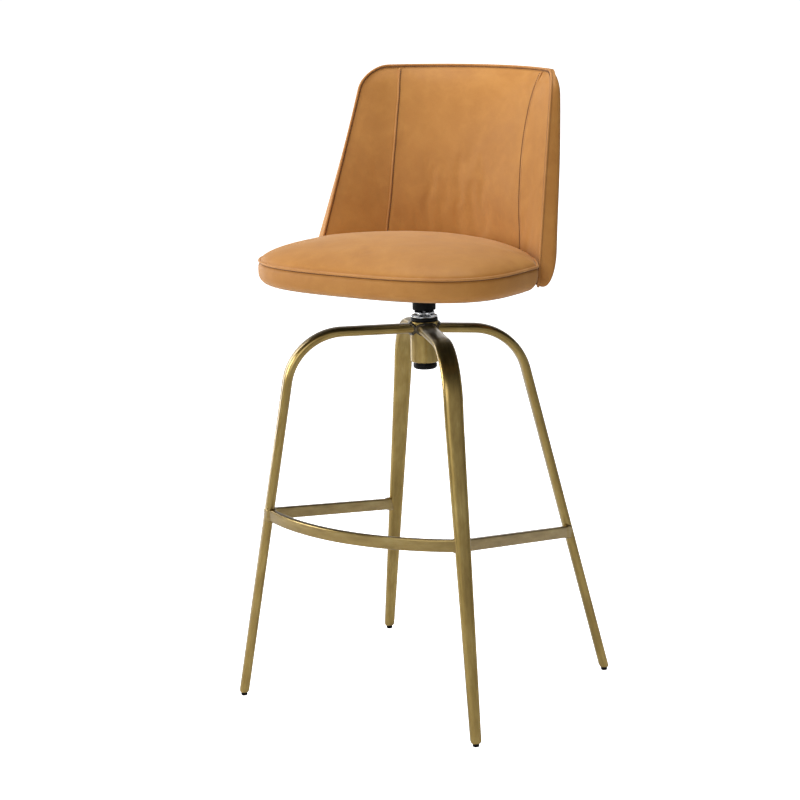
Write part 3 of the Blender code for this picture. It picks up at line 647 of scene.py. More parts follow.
def add_leg(which):
    leg, side, rear = LEGS[which]
    out, across = leg_directions(leg, side, rear)
    path, bend_end = leg_path(leg)
    top = path[bend_end][1]
    stations = [(r, z, tilt, 1.0) for r, z, tilt in path]
    shank_drop = path[-1][2]
    for share in (0.25, 0.5, 0.75, 1.0):
        z = FOOT_PLUG_TALL + TOUCH + LEG_END_TAPER_TALL * (1 - share)
        stations.append((leg["foot_r"] - leg["splay"] * z, z, shank_drop, 1 - LEG_END_NARROWING * share**2))
    loops, flow = [], []
    length, last = 0.0, None
    for index, (r, z, tilt, scale) in enumerate(stations):
        down = min(max((top - z) / top, 0), 1) if index > bend_end else 0.0
        wide = (LEG_HALF_WIDE_TOP + (LEG_HALF_WIDE_FOOT - LEG_HALF_WIDE_TOP) * down) * scale
        thick = LEG_HALF_THICK * scale
        normal = out * math.sin(tilt) + up(math.cos(tilt))
        if z < LEG_LEVEL_END_FROM_Z:
            level = out / math.sin(tilt)
            normal = normal.lerp(level, eased((LEG_LEVEL_END_FROM_Z - z) / LEG_LEVEL_END_TALL))
        centre = leg_centre(leg, side, rear, r, z)
        length += (centre - last).length if last is not None else 0.0
        last = centre
        loop = []
        for turn in turns(LEG_SIDES):
            u, v = oval(turn, wide, thick)
            point = centre + across * u + normal * v
            if index == 0:
                point = out * math.sqrt(r**2 - u**2) + across * u + up(z + v)
            loop.append(point)
            flow.append((u, v, length + 2.0 * side + rear))
        loops.append(loop)
    return piece(f"leg_{which}_tube", skin(loops), "brass", BASE, [f"leg_{which}"], flow)


def add_foot_plug(which):
    leg, side, rear = LEGS[which]
    out, across = leg_directions(leg, side, rear)
    centre = shank_centre(leg, side, rear, FOOT_PLUG_TALL)
    centre.z = 0
    loops = []
    for z, scale in ((0.0, 0.80), (0.0003, 0.90), (0.0008, 0.97), (0.0014, 1.0), (0.0040, 1.0),
                     (0.0043, 0.93), (0.0047, 0.93), (0.0050, 1.0), (FOOT_PLUG_TALL, 1.0)):
        ring = [oval(turn, FOOT_PLUG_HALF * scale, FOOT_PLUG_HALF * scale) for turn in turns(40)]
        loops.append([centre + across * u + out * v + up(z) for u, v in ring])
    return piece(f"foot_glide_{which}", skin(loops), "plastic", BASE, [f"foot_plug_{which}"])


def bar_outline():
    """Rounded flat-bar section as (across, up) pairs."""
    half_thick, half_tall = BAR_THICK / 2, BAR_TALL / 2
    pairs = []
    for quadrant, (sx, sz) in enumerate(((1, 1), (-1, 1), (-1, -1), (1, -1))):
        for step in range(7):
            angle = math.radians(90 * quadrant + 15 * step)
            pairs.append((sx * (half_thick - BAR_SOFT) + BAR_SOFT * math.cos(angle),
                          sz * (half_tall - BAR_SOFT) + BAR_SOFT * math.sin(angle)))
    return pairs


def add_bar(name, path, node, first_wide=BAR_FLARE_WIDE, last_wide=BAR_FLARE_WIDE):
    """A flat bar along level stations, given as (centre, across) pairs. Its ends flare into smooth welds."""
    lengths = [0.0]
    for (here, _), (beyond, _) in zip(path, path[1:]):
        lengths.append(lengths[-1] + (beyond - here).length)
    loops, flow = [], []
    for (centre, across), length in zip(path, lengths):
        from_end = min(length, lengths[-1] - length)
        flare = 1 - eased((from_end - BAR_FLARE_FROM) / BAR_FLARE_LONG)
        spread = first_wide if length < lengths[-1] / 2 else last_wide
        wide, tall = 1 + spread * flare, 1 + BAR_FLARE_TALL * flare
        loops.append([centre + across * (u * wide) + up(v * tall) for u, v in bar_outline()])
        flow += [(u, v, length + 5.0) for u, v in bar_outline()]
    # The bars' brass is a darker copy of the legs' brass: painted shade.
    return piece(name, skin(loops), "painted_shade_bar_brass", BASE, [node], flow)


def side_bar_path(side, steps=150):
    """From the middle of the front leg to the forward edge of the rear leg."""
    front = shank_centre(FRONT_LEG, side, False, BAR_FRONT_Z)
    rear = shank_centre(REAR_LEG, side, True, BAR_REAR_Z)
    _, edge = leg_directions(REAR_LEG, side, True)
    rear += edge * math.copysign(BAR_REAR_SHIFT, -edge.y)
    along = (rear - front).normalized()
    across = Vector((along.y, -along.x, 0)).normalized()
    return [(front + (rear - front) * (i / steps), across) for i in range(steps + 1)]


def front_bar_path(steps=180):
    left = shank_centre(FRONT_LEG, 1, False, BAR_FRONT_Z)
    half = left.x
    radius = (half**2 + FRONT_BAR_BOW**2) / (2 * FRONT_BAR_BOW)
    reach = math.asin(half / radius)
    centre_y = left.y - FRONT_BAR_BOW + radius
    path = []
    for i in range(steps + 1):
        angle = reach * (2 * i / steps - 1)
        out = Vector((math.sin(angle), -math.cos(angle), 0))
        path.append((Vector((0, centre_y, BAR_FRONT_Z)) + out * radius, out))
    return path


def weld_ripple(seed):
    """Size of a weld bead along its run: overlapping scales with some unevenness."""
    return lambda i: 0.86 + 0.24 * abs(math.sin(i * 0.42 + seed)) + 0.16 * noise.noise((i * 0.21, seed, 0.0))


def add_root_weld(which, seed):
    """Bead round the root of a leg, in the corner between it and the hub."""
    leg, side, rear = LEGS[which]
    out, across = leg_directions(leg, side, rear)
    radius = HUB_R + WELD_CLEAR_OF_HUB
    path, facing = [], []
    for turn in turns(96):
        u, v = oval(turn, LEG_HALF_WIDE_TOP + WELD_CLEAR_OF_LEG, LEG_HALF_THICK + WELD_CLEAR_OF_LEG)
        place = out * math.sqrt(radius**2 - u**2) + across * u
        path.append(place + up(LEG_TOP_Z - leg["droop"] * radius + v))
        facing.append((place.normalized() + (across * u + up(v)).normalized()).normalized())
    points, faces = cord(path, facing, WELD_HALF_WIDE, WELD_HALF_TALL, ripple=weld_ripple(seed))
    return piece(f"hub_weld_{which}", (points, faces), "weld", BASE, flow=points)


def add_frame():
    for index, which in enumerate(LEGS):
        add_leg(which)
        add_foot_plug(which)
        add_root_weld(which, index * 1.7)
    add_bar("footrest_bar_front", front_bar_path(), "footrest_front_bar", FRONT_BAR_WRAP, 0.0)
    for name, side in SIDES:
        add_bar(f"footrest_bar_{name}", side_bar_path(side), f"footrest_{name}_bar")


# ---- swivel ----


def ring_of(node, bore):
    """Bore, outer radius, bottom and top of a turned CAD node."""
    low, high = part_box(node)
    return bore, high.x, low.z, high.z


def add_swivel():
    spindle_low, spindle_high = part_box("spindle")
    spindle_r = spindle_high.x
    bore, outer, low, high = ring_of("hub", 0.0140)
    turned("hub_body", [(bore, low), (outer - 0.0022, low), (outer, low + 0.0018), (outer, high - 0.0008),
                        (outer - 0.0010, high), (bore, high)], "brass", BASE, ["hub"])
    bore, outer, low, high = ring_of("hub_lower_bush", spindle_r + TOUCH)
    turned("lower_bush_body", [(bore, low), (outer, low), (outer, high), (bore, high)],
           "plastic", BASE, ["hub_lower_bush"])
    bore, outer, low, high = ring_of("hub_upper_bush", spindle_r + TOUCH)
    shank_r = 0.0137
    hub_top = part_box("hub")[1].z
    turned("upper_bush_flange", [(bore, low), (shank_r, low), (shank_r, hub_top + TOUCH),
                                 (outer, hub_top + TOUCH), (outer, high - 0.0012), (outer - 0.0010, high),
                                 (bore, high)], "plastic", BASE, ["hub_upper_bush"], 0.0008)
    bore, outer, low, high = ring_of("bearing_race", spindle_r + TOUCH)
    floor = low + 0.0012
    turned("bearing_dish", [(bore, low), (outer - 0.0008, low), (outer, low + 0.0010), (outer, high - 0.0004),
                            (outer - 0.0006, high), (outer - 0.0016, high - 0.0002), (outer - 0.0036, floor),
                            (0.0150, floor - 0.0003), (0.0122, floor - 0.0006), (0.0094, floor - 0.0002),
                            (bore, floor)], "chrome", BASE, ["bearing_race"], 0.0005)
    add_ball_ring()
    add_sleeve(spindle_r)
    shaft = [(spindle_r - 0.0018, spindle_low.z), (spindle_r, spindle_low.z + 0.0018),
             (spindle_r, spindle_high.z)]
    piece("spindle_shaft", skin(turned_loops(shaft)), "steel", SEAT, ["spindle"])
    low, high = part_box("spindle_nut")
    outer = high.x
    bore = spindle_r + TOUCH
    cap = [(bore, low.z + 0.0038), (bore, high.z), (outer - 0.0012, high.z),
           (outer - 0.0012, high.z - 0.0022), (outer, high.z - 0.0030), (outer, low.z + 0.0030),
           (outer - 0.0022, low.z + 0.0006), (outer - 0.0050, low.z), (0.0012, low.z),
           (0.0012, low.z + 0.0024), (0.0052, low.z + 0.0026)]
    turned("spindle_end_cap", cap, "plastic", SEAT, ["spindle_nut"], 0.0009)


def add_ball_ring():
    """Bright balls in a thin pressed cage."""
    low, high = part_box("bearing_balls")
    centre_z = (low.z + high.z) / 2
    ball_r = (high.z - low.z) / 2
    ring_r, count, phase = 0.0122, 6, 0.57
    build = bmesh.new()
    for i in range(count):
        angle = 2 * math.pi * (i + phase) / count
        made = bmesh.ops.create_uvsphere(build, u_segments=40, v_segments=24, radius=ball_r)
        bmesh.ops.translate(build, verts=made["verts"],
                            vec=(ring_r * math.cos(angle), ring_r * math.sin(angle), centre_z))
    build.verts.index_update()
    balls = ([v.co.copy() for v in build.verts], [tuple(v.index for v in face.verts) for face in build.faces])
    build.free()
    half, half_thick = 0.0016, 0.0007
    section = [(ring_r - half, centre_z - half_thick), (ring_r + half, centre_z - half_thick),
               (ring_r + half, centre_z + half_thick), (ring_r - half, centre_z + half_thick)]
    cage = skin(turned_loops(softened(section, 0.0003)), closed_along=True)
    piece("bearing_ball_ring", joined([balls, cage]), "chrome", BASE, ["bearing_balls"])


def add_sleeve(spindle_r):
    """Black sleeve with a fine crossed knurl and plain ends."""
    low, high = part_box("swivel_sleeve")
    outer, bore = high.x, spindle_r + TOUCH
    around, rows, ridges, pitch, deep = 336, 108, 56, 0.0021, 0.00030
    start, end, fade_tall = low.z + 0.0014, high.z - 0.0012, 0.0012
    loops = turned_loops([(bore, low.z), (outer - 0.0016, low.z), (outer - 0.0006, low.z + 0.0003),
                          (outer - 0.0001, low.z + 0.0010)], around)
    for i in range(rows + 1):
        z = start + (end - start) * i / rows
        fade = eased((z - start) / fade_tall) * eased((end - z) / fade_tall)
        ring = []
        for angle in turns(around):
            a = abs(((angle * ridges / (2 * math.pi) + z / pitch) % 1.0) - 0.5) * 2
            b = abs(((angle * ridges / (2 * math.pi) - z / pitch) % 1.0) - 0.5) * 2
            r = outer - deep * fade * (1 - min(a, b))
            ring.append((r * math.cos(angle), r * math.sin(angle), z))
        loops.append(ring)
    loops += turned_loops([(outer - 0.0008, high.z), (bore, high.z)], around)
    piece("swivel_sleeve_knurled", skin(loops, closed_along=True), "sleeve", SEAT, ["swivel_sleeve"])


# ---- seat ----


def back_arc(z):
    """Radius, centre y and half angle of the backrest's front face at one height."""
    edge_x = BACK_EDGE_X + BACK_EDGE_X_SLOPE * (z - BACK_EDGE_REF_Z)
    edge_y = BACK_EDGE_Y + BACK_EDGE_Y_SLOPE * (z - BACK_EDGE_REF_Z)
    sagitta = between(BACK_CENTRE_Y, z) - edge_y
    radius = (edge_x**2 + sagitta**2) / (2 * sagitta)
    centre_y = edge_y + sagitta - radius
    return radius, centre_y, math.atan2(edge_x, edge_y - centre_y)


def seat_reach(direction, z):
    """Distance from the seat's centre to its edge in one direction. The backrest trims it, along its arc and
    then along the tangent at its wing's edge."""
    c, s = abs(math.cos(direction)), math.sin(direction)
    deep = SEAT_REAR_DEEP if s > 0 else SEAT_HALF_DEEP
    reach = ((c / SEAT_HALF_WIDE) ** SEAT_POWER + abs(s / deep) ** SEAT_POWER) ** (-1 / SEAT_POWER)
    radius, centre_y, half_angle = back_arc(z)
    radius -= SEAT_BACK_GAP
    offset = SEAT_CENTRE_Y - centre_y
    along = -offset * s + math.sqrt(max(radius**2 - (offset * c) ** 2, 0))
    if math.atan2(along * c, offset + along * s) > half_angle:
        slope = c * math.sin(half_angle) + s * math.cos(half_angle)
        along = (radius - offset * math.cos(half_angle)) / max(slope, 0.01)
    gap = abs(reach - along) / SEAT_CORNER_SOFT
    return min(reach, along) - SEAT_CORNER_SOFT * math.log(1.0 + math.exp(-gap))


def seat_loop(z, inset, count=SEAT_POINTS):
    """Seat outline at one height, moved in by an inset."""
    base = []
    for i in range(count):
        direction = 2 * math.pi * i / count
        reach = seat_reach(direction, z)
        base.append(Vector((reach * math.cos(direction), SEAT_CENTRE_Y + reach * math.sin(direction), z)))
    loop = []
    for i in range(count):
        along = (base[(i + 1) % count] - base[i - 1]).normalized()
        loop.append(base[i] + Vector((-along.y, along.x, 0)) * inset)
    return loop


def at_turn(loop, turn):
    """Point of a closed loop at an angle, between its own points."""
    place = (turn % (2 * math.pi)) / (2 * math.pi) * len(loop)
    i = int(place) % len(loop)
    return loop[i].lerp(loop[(i + 1) % len(loop)], place - int(place))


def add_cushion():
    """Domed leather top over foam: an even grid stretched over the seat outline, then blown up as cloth."""
    rim_z = SEAT_PIPE_Z + CUSHION_RIM_LIFT
    rim = seat_loop(SEAT_PIPE_Z, CUSHION_INSET, 2 * SEAT_POINTS)
    middle = Vector((0, CROWN_CENTRE_Y, 0))
    tall = SEAT_CROWN_Z - rim_z - CUSHION_SWELL
    spread = [2 * math.sin(math.pi / 2 * (2 * k / CUSHION_CELLS - 1) * 0.5) / math.sqrt(2)
              for k in range(CUSHION_CELLS + 1)]
    top, under = [], []
    for v in spread:
        top.append([])
        under.append([])
        for u in spread:
            x, y = u * math.sqrt(1 - v * v / 2), v * math.sqrt(1 - u * u / 2)
            r = min(math.hypot(x, y), 1.0)
            edge = at_turn(rim, math.atan2(y, x))
            flat = middle + (Vector((edge.x, edge.y, 0)) - middle) * r
            rise = (1 - r**CROWN_FLATNESS) ** CROWN_SHOULDER if r < 1 else 0.0
            top[-1].append(Vector((flat.x, flat.y, rim_z + tall * rise)))
            under[-1].append(Vector((flat.x, flat.y, rim_z - CUSHION_DEEP)))
    points, faces, border = slab_mesh(top, under)
    half = len(points) // 2
    points = inflate(points, faces, sorted(border) + list(range(half, 2 * half)), 3.0, 0.004)
    for k, point in enumerate(points[:half]):
        edge = min(1.0, max(0.0, (point.z - rim_z) / 0.012))
        rise = wave(point.x, point.y, 26, 0.00042, 3.1) + wave(point.x, point.y, 95, 0.00010, 8.0)
        points[k] = point + up(rise * edge)
    leather_pad("seat_cushion_leather", (points, faces), "seat_cushion")


def spline(points, steps):
    """Points of a smooth curve through the given ones."""
    made = []
    last = len(points) - 1
    for i in range(last):
        p0, p1 = Vector(points[max(i - 1, 0)]), Vector(points[i])
        p2, p3 = Vector(points[i + 1]), Vector(points[min(i + 2, last)])
        for k in range(steps):
            t = k / steps
            made.append(((p1 * 2) + (p2 - p0) * t + (p0 * 2 - p1 * 5 + p2 * 4 - p3) * t**2
                         + (p1 * 3 - p0 - p2 * 3 + p3) * t**3) / 2)
    made.append(Vector(points[-1]))
    return made


def add_band():
    """Padded border under the piping, which rolls in under the seat."""
    top = SEAT_PIPE_Z - SEAT_PIPE_R
    outer = spline([(0.0060, top - 0.0004), (0.0030, top - 0.0008), (0.0011, top - 0.0022),
                    (-0.0004, top - 0.0052), (-0.0011, top - 0.0120), (-0.0006, top - 0.0205),
                    (0.0018, top - 0.0270), (0.0062, top - 0.0318), (0.0105, SEAT_BOTTOM_Z + 0.0012),
                    (0.0135, SEAT_BOTTOM_Z + 0.0004)], 4)
    profile = outer + [(BAND_THICK + 0.0012, SEAT_BOTTOM_Z + 0.0016), (BAND_THICK, top - 0.0040)]
    loops = []
    last = len(outer)
    for k, (inset, z) in enumerate(profile):
        loop = seat_loop(z, inset)
        if 0 < k < last:
            puff = math.sin(math.pi * k / last)
            waved = []
            for i, point in enumerate(loop):
                outward = (point - Vector((0, SEAT_CENTRE_Y, z))).normalized()
                rise = wave(point.x, point.y, 30, 0.00045, z * 18)
                rise += wave(point.x, point.y, 120, 0.00012, z * 25)
                waved.append(point + outward * (rise * puff))
            loop = waved
        loops.append(loop)
    leather_pad("seat_band_leather", skin(loops, closed_along=True), "seat_band", 70.0)


def add_seat_trim():
    path = seat_loop(SEAT_PIPE_Z, SEAT_PIPE_INSET, TRIM_POINTS)
    centre = Vector((0, SEAT_CENTRE_Y, SEAT_PIPE_Z))
    outward = [(point - centre).normalized() for point in path]
    piece("seat_piping_cord", cord(path, outward, SEAT_PIPE_R, SEAT_PIPE_R), "piping", SEAT, ["seat_piping"])
    # Nearly continuous dark thread in the crevice under the piping: a real stitch line, and painted shade of
    # the crevice as well.
    seam = seat_loop(SEAT_PIPE_Z - SEAT_PIPE_R - 0.0004, SEAT_SEAM_INSET, TRIM_POINTS)
    piece("seat_piping_stitches_with_painted_shade", stitches(seam, outward, 0.00055, True, 0.86), "thread", SEAT)


def add_staples():
    """Wire staples that hold the lining cloth under the seat."""
    low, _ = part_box("seat_base_cloth")
    path = seat_loop(low.z, BAND_THICK + 0.0060)
    shape = ((-1.0, 0.0006), (-0.96, -0.0003), (-0.8, -0.0006),
             (0.8, -0.0006), (0.96, -0.0003), (1.0, 0.0006))
    parts = []
    for here, i in evenly(path, STAPLE_PITCH, True):
        along = (path[(i + 1) % len(path)] - path[i - 1]).normalized()
        side = Vector((-along.y, along.x, 0))
        loops = []
        for t, z in shape:
            middle = Vector((here.x, here.y, low.z + z)) + along * (STAPLE_HALF_LONG * t)
            loops.append(oval_ring(middle, side, up(1), 0.0006, 0.0003, 8))
        parts.append(skin(loops))
    piece("lining_staples", joined(parts), "steel", SEAT)


def add_bolts():
    """Button-head bolts with a hexagon socket and a washer each."""
    plate_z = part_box("swivel_plate")[0].z
    for index in range(1, 5):
        low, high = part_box(f"plate_bolt_{index}")
        x, y = (low.x + high.x) / 2, (low.y + high.y) / 2 - AXIS.y
        head = [(0.0030, high.z), (0.0030, plate_z), (0.0066, plate_z), (0.0066, plate_z - 0.0008),
                (0.0054, plate_z - 0.0009), (0.0052, plate_z - 0.0020), (0.0042, plate_z - 0.0032),
                (0.0026, plate_z - 0.0037)]
        loops = turned_loops(head, 48, x, y)
        for r, z in ((0.0023, plate_z - 0.0036), (0.0022, plate_z - 0.0014)):
            ring = []
            for turn in turns(48):
                hexagon = math.cos(math.pi / 6) / math.cos((turn % (math.pi / 3)) - math.pi / 6)
                ring.append((x + r * hexagon * math.cos(turn), y + r * hexagon * math.sin(turn), z))
            loops.append(ring)
        piece(f"seat_bolt_{index}", skin(loops), "steel", SEAT, [f"plate_bolt_{index}"])


# ---- backrest ----


def top_lean(z):
    """How far the backrest's top border rolls away from the sitter."""
    return BACK_TOP_LEAN * max(0.0, (z - BACK_TOP_LEAN_FROM) / (BACK_TOP_Z - BACK_TOP_LEAN_FROM)) ** 2


def back_point(across, z, depth):
    """Point of the slab, at the length across from the middle of its front face and at a depth behind it."""
    radius, centre_y, _ = back_arc(z)
    angle = across / radius
    centre_y += top_lean(z)
    return Vector(((radius + depth) * math.sin(angle), centre_y + (radius + depth) * math.cos(angle), z))


def back_outward(across, z):
    """Direction out of the front face, towards the sitter."""
    radius, _, _ = back_arc(z)
    return Vector((-math.sin(across / radius), -math.cos(across / radius), 0))


def back_half(z):
    radius, _, half_angle = back_arc(z)
    return radius * half_angle


def side_limit(z, inset):
    """Half length across at one height, with the rounded top and bottom corners of the outline."""
    limit = back_half(z) - inset
    for end_z, corner in BACK_ENDS:
        limit -= rounded_drop(abs(end_z - z) - inset, max(corner - inset, 0.002))
    return limit


def edge_distance(across, z):
    """How far inside the backrest's outline a place lies."""
    half = back_half(z)
    for end_z, corner in BACK_ENDS:
        over_x = abs(across) - (half - corner)
        over_z = corner - abs(end_z - z)
        if over_x > 0 and over_z > 0:
            return corner - math.hypot(over_x, over_z)
    return min(half - abs(across), BACK_TOP_Z - z, z - BACK_BOTTOM_Z)


def clustered(low, high, soft_low, soft_high, soft_steps, mid_steps):
    """Places from low to high that crowd together towards both ends."""
    start, end = low + soft_low, high - soft_high
    eases = [1 - math.cos(math.pi / 2 * k / soft_steps) for k in range(soft_steps)]
    made = [low + soft_low * ease for ease in eases]
    made += [start + (end - start) * k / mid_steps for k in range(mid_steps + 1)]
    return made + [high - soft_high * ease for ease in reversed(eases)]


def slab_mesh(front, back, middle=None):
    """Closed body from a front and a back grid of the same size, and the indexes of its front rim. A middle
    grid, whose border alone is used, shapes the side wall."""
    rows, cols = len(front), len(front[0])
    points = [p for row in front for p in row] + [p for row in back for p in row]
    shift = rows * cols
    faces = []
    for i in range(rows - 1):
        for j in range(cols - 1):
            a = i * cols + j
            faces.append((a, a + 1, a + cols + 1, a + cols))
            faces.append((shift + a, shift + a + cols, shift + a + cols + 1, shift + a + 1))
    rim = list(range(cols)) + [i * cols + cols - 1 for i in range(1, rows)]
    rim += [(rows - 1) * cols + j for j in range(cols - 2, -1, -1)]
    rim += [i * cols for i in range(rows - 2, 0, -1)]
    walls = [rim, [a + shift for a in rim]]
    if middle:
        walls.insert(1, list(range(len(points), len(points) + len(rim))))
        points += [middle[a // cols][a % cols] for a in rim]
    for upper, lower in zip(walls, walls[1:]):
        for i in range(len(rim)):
            k = (i + 1) % len(rim)
            faces.append((upper[i], upper[k], lower[k], lower[i]))
    return points, faces, set(rim)


def seam_across(z):
    radius, _, _ = back_arc(z)
    return radius * math.asin(between(SEAM_X, z) / radius)


def add_panel(name, node, span, columns, puff):
    """Front panel with rolled edges, blown up as cloth between its seams."""
    levels = clustered(BACK_BOTTOM_Z + PANEL_INSET, BACK_TOP_Z - PANEL_INSET, 0.010, 0.034, 12, 54)
    front, back = [], []
    for z in levels:
        low, high = span(z)
        row_front, row_back = [], []
        for across in clustered(low, high, PANEL_ROLL, PANEL_ROLL, 5, columns):
            border = max(edge_distance(across, z) - PANEL_INSET, 0.0)
            edge = min(across - low, high - across, border)
            drop = rounded_drop(edge, PANEL_ROLL) * 0.9
            drop += PANEL_SOFT_DROP * (1 - eased(border / PANEL_SOFT_ROLL))
            lift = puff * eased(edge / 0.045)
            lift += wave(across, z, 14, 0.0007, 5.0) * eased(edge / 0.03)
            lift += wave(across, z, 60, 0.00012, 2.0) * eased(edge / 0.01)
            row_front.append(back_point(across, z, drop - lift))
            row_back.append(back_point(across, z, PANEL_THICK))
        front.append(row_front)
        back.append(row_back)
    points, faces, rim = slab_mesh(front, back)
    half = len(points) // 2
    cols = len(front[0])
    pinned = sorted(rim) + list(range(half, 2 * half))
    pinned += [i for i in range(half) if i % cols in (1, 2, 3, cols - 2, cols - 3, cols - 4)]
    points = inflate(points, faces, pinned, 1.2, 0.0025)
    leather_pad(name, (points, faces), node)


def add_panels():
    def centre(z):
        reach = seam_across(z)
        return -reach, reach

    def left(z):
        return seam_across(z) + WELT_WIDE - 0.0008, side_limit(z, PANEL_INSET)

    def right(z):
        return -side_limit(z, PANEL_INSET), -seam_across(z) - WELT_WIDE + 0.0008

    add_panel("back_leather_centre", "back_panel_centre", centre, 64, 0.0012)
    add_panel("back_leather_left", "back_panel_left", left, 22, 0.0012)
    add_panel("back_leather_right", "back_panel_right", right, 22, 0.0012)


def add_seams():
    """A raised folded lip and a row of stitches along each upright seam."""
    for name, side in SIDES:
        low, high = BACK_BOTTOM_Z + 0.006, BACK_TOP_Z - 0.0050
        heights = [low + (high - low) * k / 120 for k in range(121)]
        lip, facing, sewn = [], [], []
        for z in heights:
            seam = seam_across(z)
            lip.append(back_point(side * (seam + WELT_WIDE / 2 + 0.0002), z, 0.0008))
            sewn.append(back_point(side * seam, z, -0.0002))
            facing.append(back_outward(side * seam, z))
        piece(f"back_seam_lip_{name}", cord(lip, facing, WELT_WIDE / 2, WELT_HALF_TALL, 14, closed=False),
              "piping", SEAT)
        piece(f"back_seam_stitches_{name}", stitches(sewn, facing, 0.00068, False, 0.72), "thread", SEAT)


def outline(inset, depth, side=1):
    """Closed path round the backrest, at an inset from its outline and at a depth, and the direction out of
    the leather at each point. side is -1 on the rear face."""
    low, high = BACK_BOTTOM_Z + inset, BACK_TOP_Z - inset
    levels = clustered(low, high, 0.010, 0.036, 12, 60)
    across_low, across_high = side_limit(low, inset), side_limit(high, inset)
    places = [(-across_low + 2 * across_low * k / 90, low) for k in range(90)]
    places += [(side_limit(z, inset), z) for z in levels[:-1]]
    places += [(across_high - 2 * across_high * k / 90, high) for k in range(90)]
    places += [(-side_limit(z, inset), z) for z in reversed(levels[1:])]
    path = [back_point(across, z, depth(across, z)) for across, z in places]
    return path, [back_outward(across, z) * side for across, z in places]


def cover_depth(across, z):
    """Depth of the padded rear face: rounded over at its border and tucked in at its foot."""
    edge = edge_distance(across, z)
    tuck = rounded_drop(z - BACK_BOTTOM_Z, BACK_FOOT_TUCK_TALL) * (BACK_FOOT_TUCK_DEEP / BACK_FOOT_TUCK_TALL)
    drop = max(rounded_drop(edge, BACK_ROUND_OVER), tuck)
    puff = 0.0016 * eased((edge - 0.012) / 0.07)
    uneven = wave(across, z, 12, 0.0007, 9.0) * eased(edge / 0.03)
    return between(BACK_THICK, z) - top_lean(z) - drop + puff + uneven


def cover_grid(inset, depth):
    """Points of the rear cover's outline filled with rows, at an inset from the outline."""
    grid = []
    for z in clustered(BACK_BOTTOM_Z + inset, BACK_TOP_Z - inset, BACK_FOOT_TUCK_TALL, BACK_CORNER_R, 18, 54):
        limit = side_limit(z, inset)
        row = clustered(-limit, limit, BACK_ROUND_OVER, BACK_ROUND_OVER, 9, 84)
        grid.append([back_point(across, z, depth(across, z)) for across in row])
    return grid


def add_cover():
    """Outer shell of the backrest: its side wall bulges behind the piping, and its rear face is padded."""
    front = cover_grid(COVER_INSET, lambda across, z: COVER_FRONT)
    middle = cover_grid(0.0003, lambda across, z: COVER_SHOULDER)
    back = cover_grid(0.0, lambda across, z: max(cover_depth(across, z), COVER_SHOULDER + 0.001))
    points, faces, _ = slab_mesh(front, back, middle)
    leather_pad("back_cover_leather", (points, faces), "back_cover")


def add_back_trim():
    path, facing = outline(BACK_PIPE_INSET, lambda across, z: BACK_PIPE_DEPTH)
    piece("back_piping_cord", cord(path, facing, BACK_PIPE_R, BACK_PIPE_R), "piping", SEAT, ["back_piping"])
    # Nearly continuous dark thread in the groove between piping and panels: a real stitch line, and painted
    # shade of the groove as well.
    path, facing = outline(BACK_STITCH_INSET, lambda across, z: 0.0014)
    piece("back_piping_stitches_with_painted_shade", stitches(path, facing, 0.00055, True, 0.88), "thread", SEAT)
    path, facing = outline(REAR_SEAM_INSET, cover_depth, -1)
    piece("back_rear_seam", cord(path, facing, 0.0013, 0.0010, 10), "piping", SEAT)
    path, facing = outline(REAR_STITCH_INSET, cover_depth, -1)
    piece("back_rear_stitches", stitches(path, facing, 0.00045, True), "thread", SEAT)


def dress_cad_nodes():
    """Better materials for the CAD nodes that stay visible."""
    for node, look in (("swivel_plate", "steel"), ("seat_board", "wood"), ("seat_base_cloth", "cloth"),
                       ("back_core", "wood")):
        target = frame["nodes"][node]
        target.data.materials.clear()
        target.data.materials.append(LOOKS[look])


# ---- studio ----


def add_floor():
    """Seamless white floor, a little self-lit so that it meets the white surroundings without an edge."""
    corners = [(x * FLOOR_HALF, y * FLOOR_HALF, 0) for x, y in ((-1, -1), (1, -1), (1, 1), (-1, 1))]
    mesh = bpy.data.meshes.new("studio_floor")
    mesh.from_pydata(corners, [], [(0, 1, 2, 3)])
    floor = new_object("studio_floor", mesh)
    s = Surface("floor_paint", roughness=0.9, Specular_IOR_Level=0.0, Emission_Color=(1.0, 1.0, 1.0, 1.0))
    seen = s.add("LightPath").outputs["Is Camera Ray"]
    s.feed(s.shader.inputs["Emission Strength"], s.remap(seen, 0.10, 1.30))
    grain = s.noise(s.place(), 30.0)
    mesh.materials.append(s.finish(s.ramp(grain, ((0.3, 0.86), (0.7, 0.88)))))


def add_softbox(name, place, power, wide, tall):
    light = bpy.data.lights.new(name, "AREA")
    light.shape = "RECTANGLE"
    light.size = wide
    light.size_y = tall
    light.energy = power
    lamp = new_object(name, light)
    lamp.location = place
    lamp.rotation_euler = (LAMP_AIM - Vector(place)).to_track_quat("-Z", "Y").to_euler()


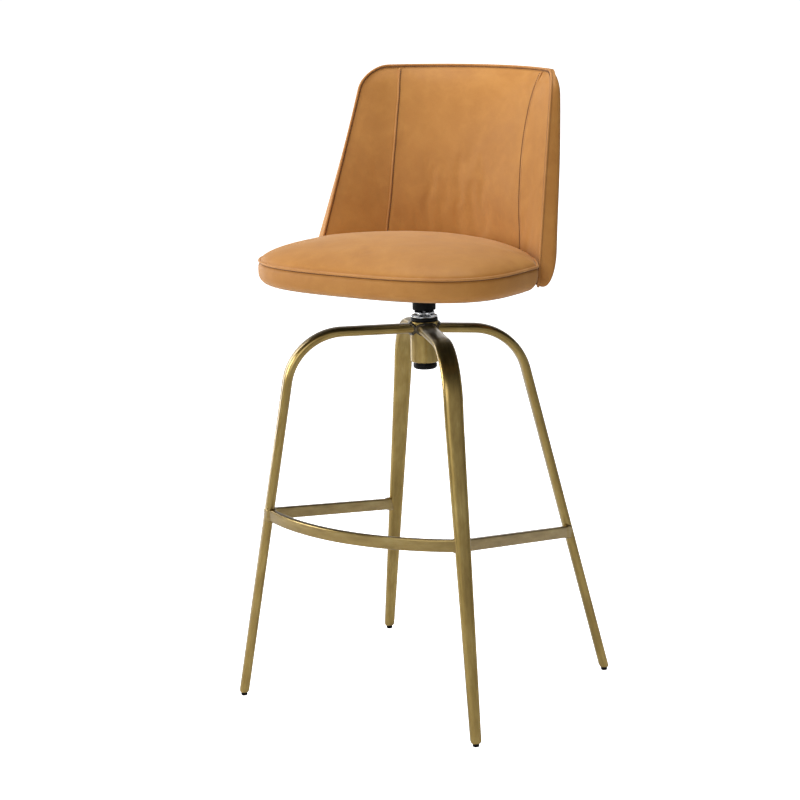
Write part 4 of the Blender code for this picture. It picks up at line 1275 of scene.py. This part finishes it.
def add_world():
    """White to the eye. Reflections see a dim tall near side, dark sides and a bright low strip behind."""
    world = bpy.data.worlds.new("studio")
    bpy.context.scene.world = world
    world.use_nodes = True
    n = Nodes(world.node_tree)
    where = n.add("TexCoord").outputs["Generated"]
    height = n.add("SeparateXYZ", {"Vector": where}).outputs["Z"]
    facing = n.add("VectorMath", {0: where, 1: FAR_SIDE}, operation="DOT_PRODUCT").outputs["Value"]
    behind = n.math("MULTIPLY_ADD", facing, 0.5, 0.5)
    near = n.blend(1.0, n.ramp(height, ((0.0, 0.62), (0.35, 0.60), (0.62, 0.30), (0.85, 0.10))),
                   n.ramp(behind, ((0.10, 0.90), (0.34, 0.34), (0.50, 0.08))), "MULTIPLY")
    far = n.blend(1.0, n.ramp(height, ((0.0, 1.3), (0.10, 1.1), (0.20, 0.26), (0.45, 0.06))),
                  n.ramp(behind, ((0.60, 0.06), (0.90, 0.5), (0.96, 1.0))), "MULTIPLY")
    seen = n.add("LightPath").outputs["Is Camera Ray"]
    colour = n.blend(seen, n.blend(1.0, near, far, "ADD"), (BACKDROP, BACKDROP, BACKDROP, 1.0))
    n.feed(n.tree.nodes["Background"].inputs["Color"], colour)


def add_studio():
    add_floor()
    add_world()
    add_softbox("key", (-2.9, -1.8, 1.6), 74.0, 1.5, 1.5)
    add_softbox("front_fill", (0.7, -4.0, 2.0), 45.0, 2.4, 2.4)
    add_softbox("top", (-0.2, 0.0, 3.0), 50.0, 1.6, 1.6)
    add_softbox("rim_left", (-2.6, 0.6, 1.0), 18.0, 0.4, 2.2)
    add_softbox("rim_right", (2.4, 1.9, 1.0), 4.5, 0.3, 2.2)
    scene = bpy.context.scene
    scene.view_settings.view_transform = "Standard"
    scene.view_settings.look = "None"


def add_camera():
    """Front left of the sitter, a little above the seat, slightly rolled."""
    level = Vector((math.sin(CAMERA_AZIMUTH), -math.cos(CAMERA_AZIMUTH), 0))
    back = level * math.cos(CAMERA_PITCH) + up(math.sin(CAMERA_PITCH))
    right = Vector((math.cos(CAMERA_AZIMUTH), math.sin(CAMERA_AZIMUTH), 0))
    top = back.cross(right)
    rolled_right = right * math.cos(CAMERA_ROLL) + top * math.sin(CAMERA_ROLL)
    rolled_up = top * math.cos(CAMERA_ROLL) - right * math.sin(CAMERA_ROLL)
    data = bpy.data.cameras.new("camera")
    data.sensor_width = 36.0
    data.lens = 100.93
    data.shift_x = -0.0314
    data.shift_y = -0.0497
    camera = new_object("camera", data)
    turn = Matrix((rolled_right, rolled_up, back)).transposed()
    place = AXIS + up(CAMERA_AIM_Z) + back * CAMERA_DISTANCE
    camera.matrix_world = Matrix.Translation(place) @ turn.to_4x4()
    bpy.context.scene.camera = camera


add_camera()
add_frame()
add_swivel()
add_cushion()
add_band()
add_seat_trim()
add_staples()
add_bolts()
add_panels()
add_seams()
add_cover()
add_back_trim()
dress_cad_nodes()
add_studio()
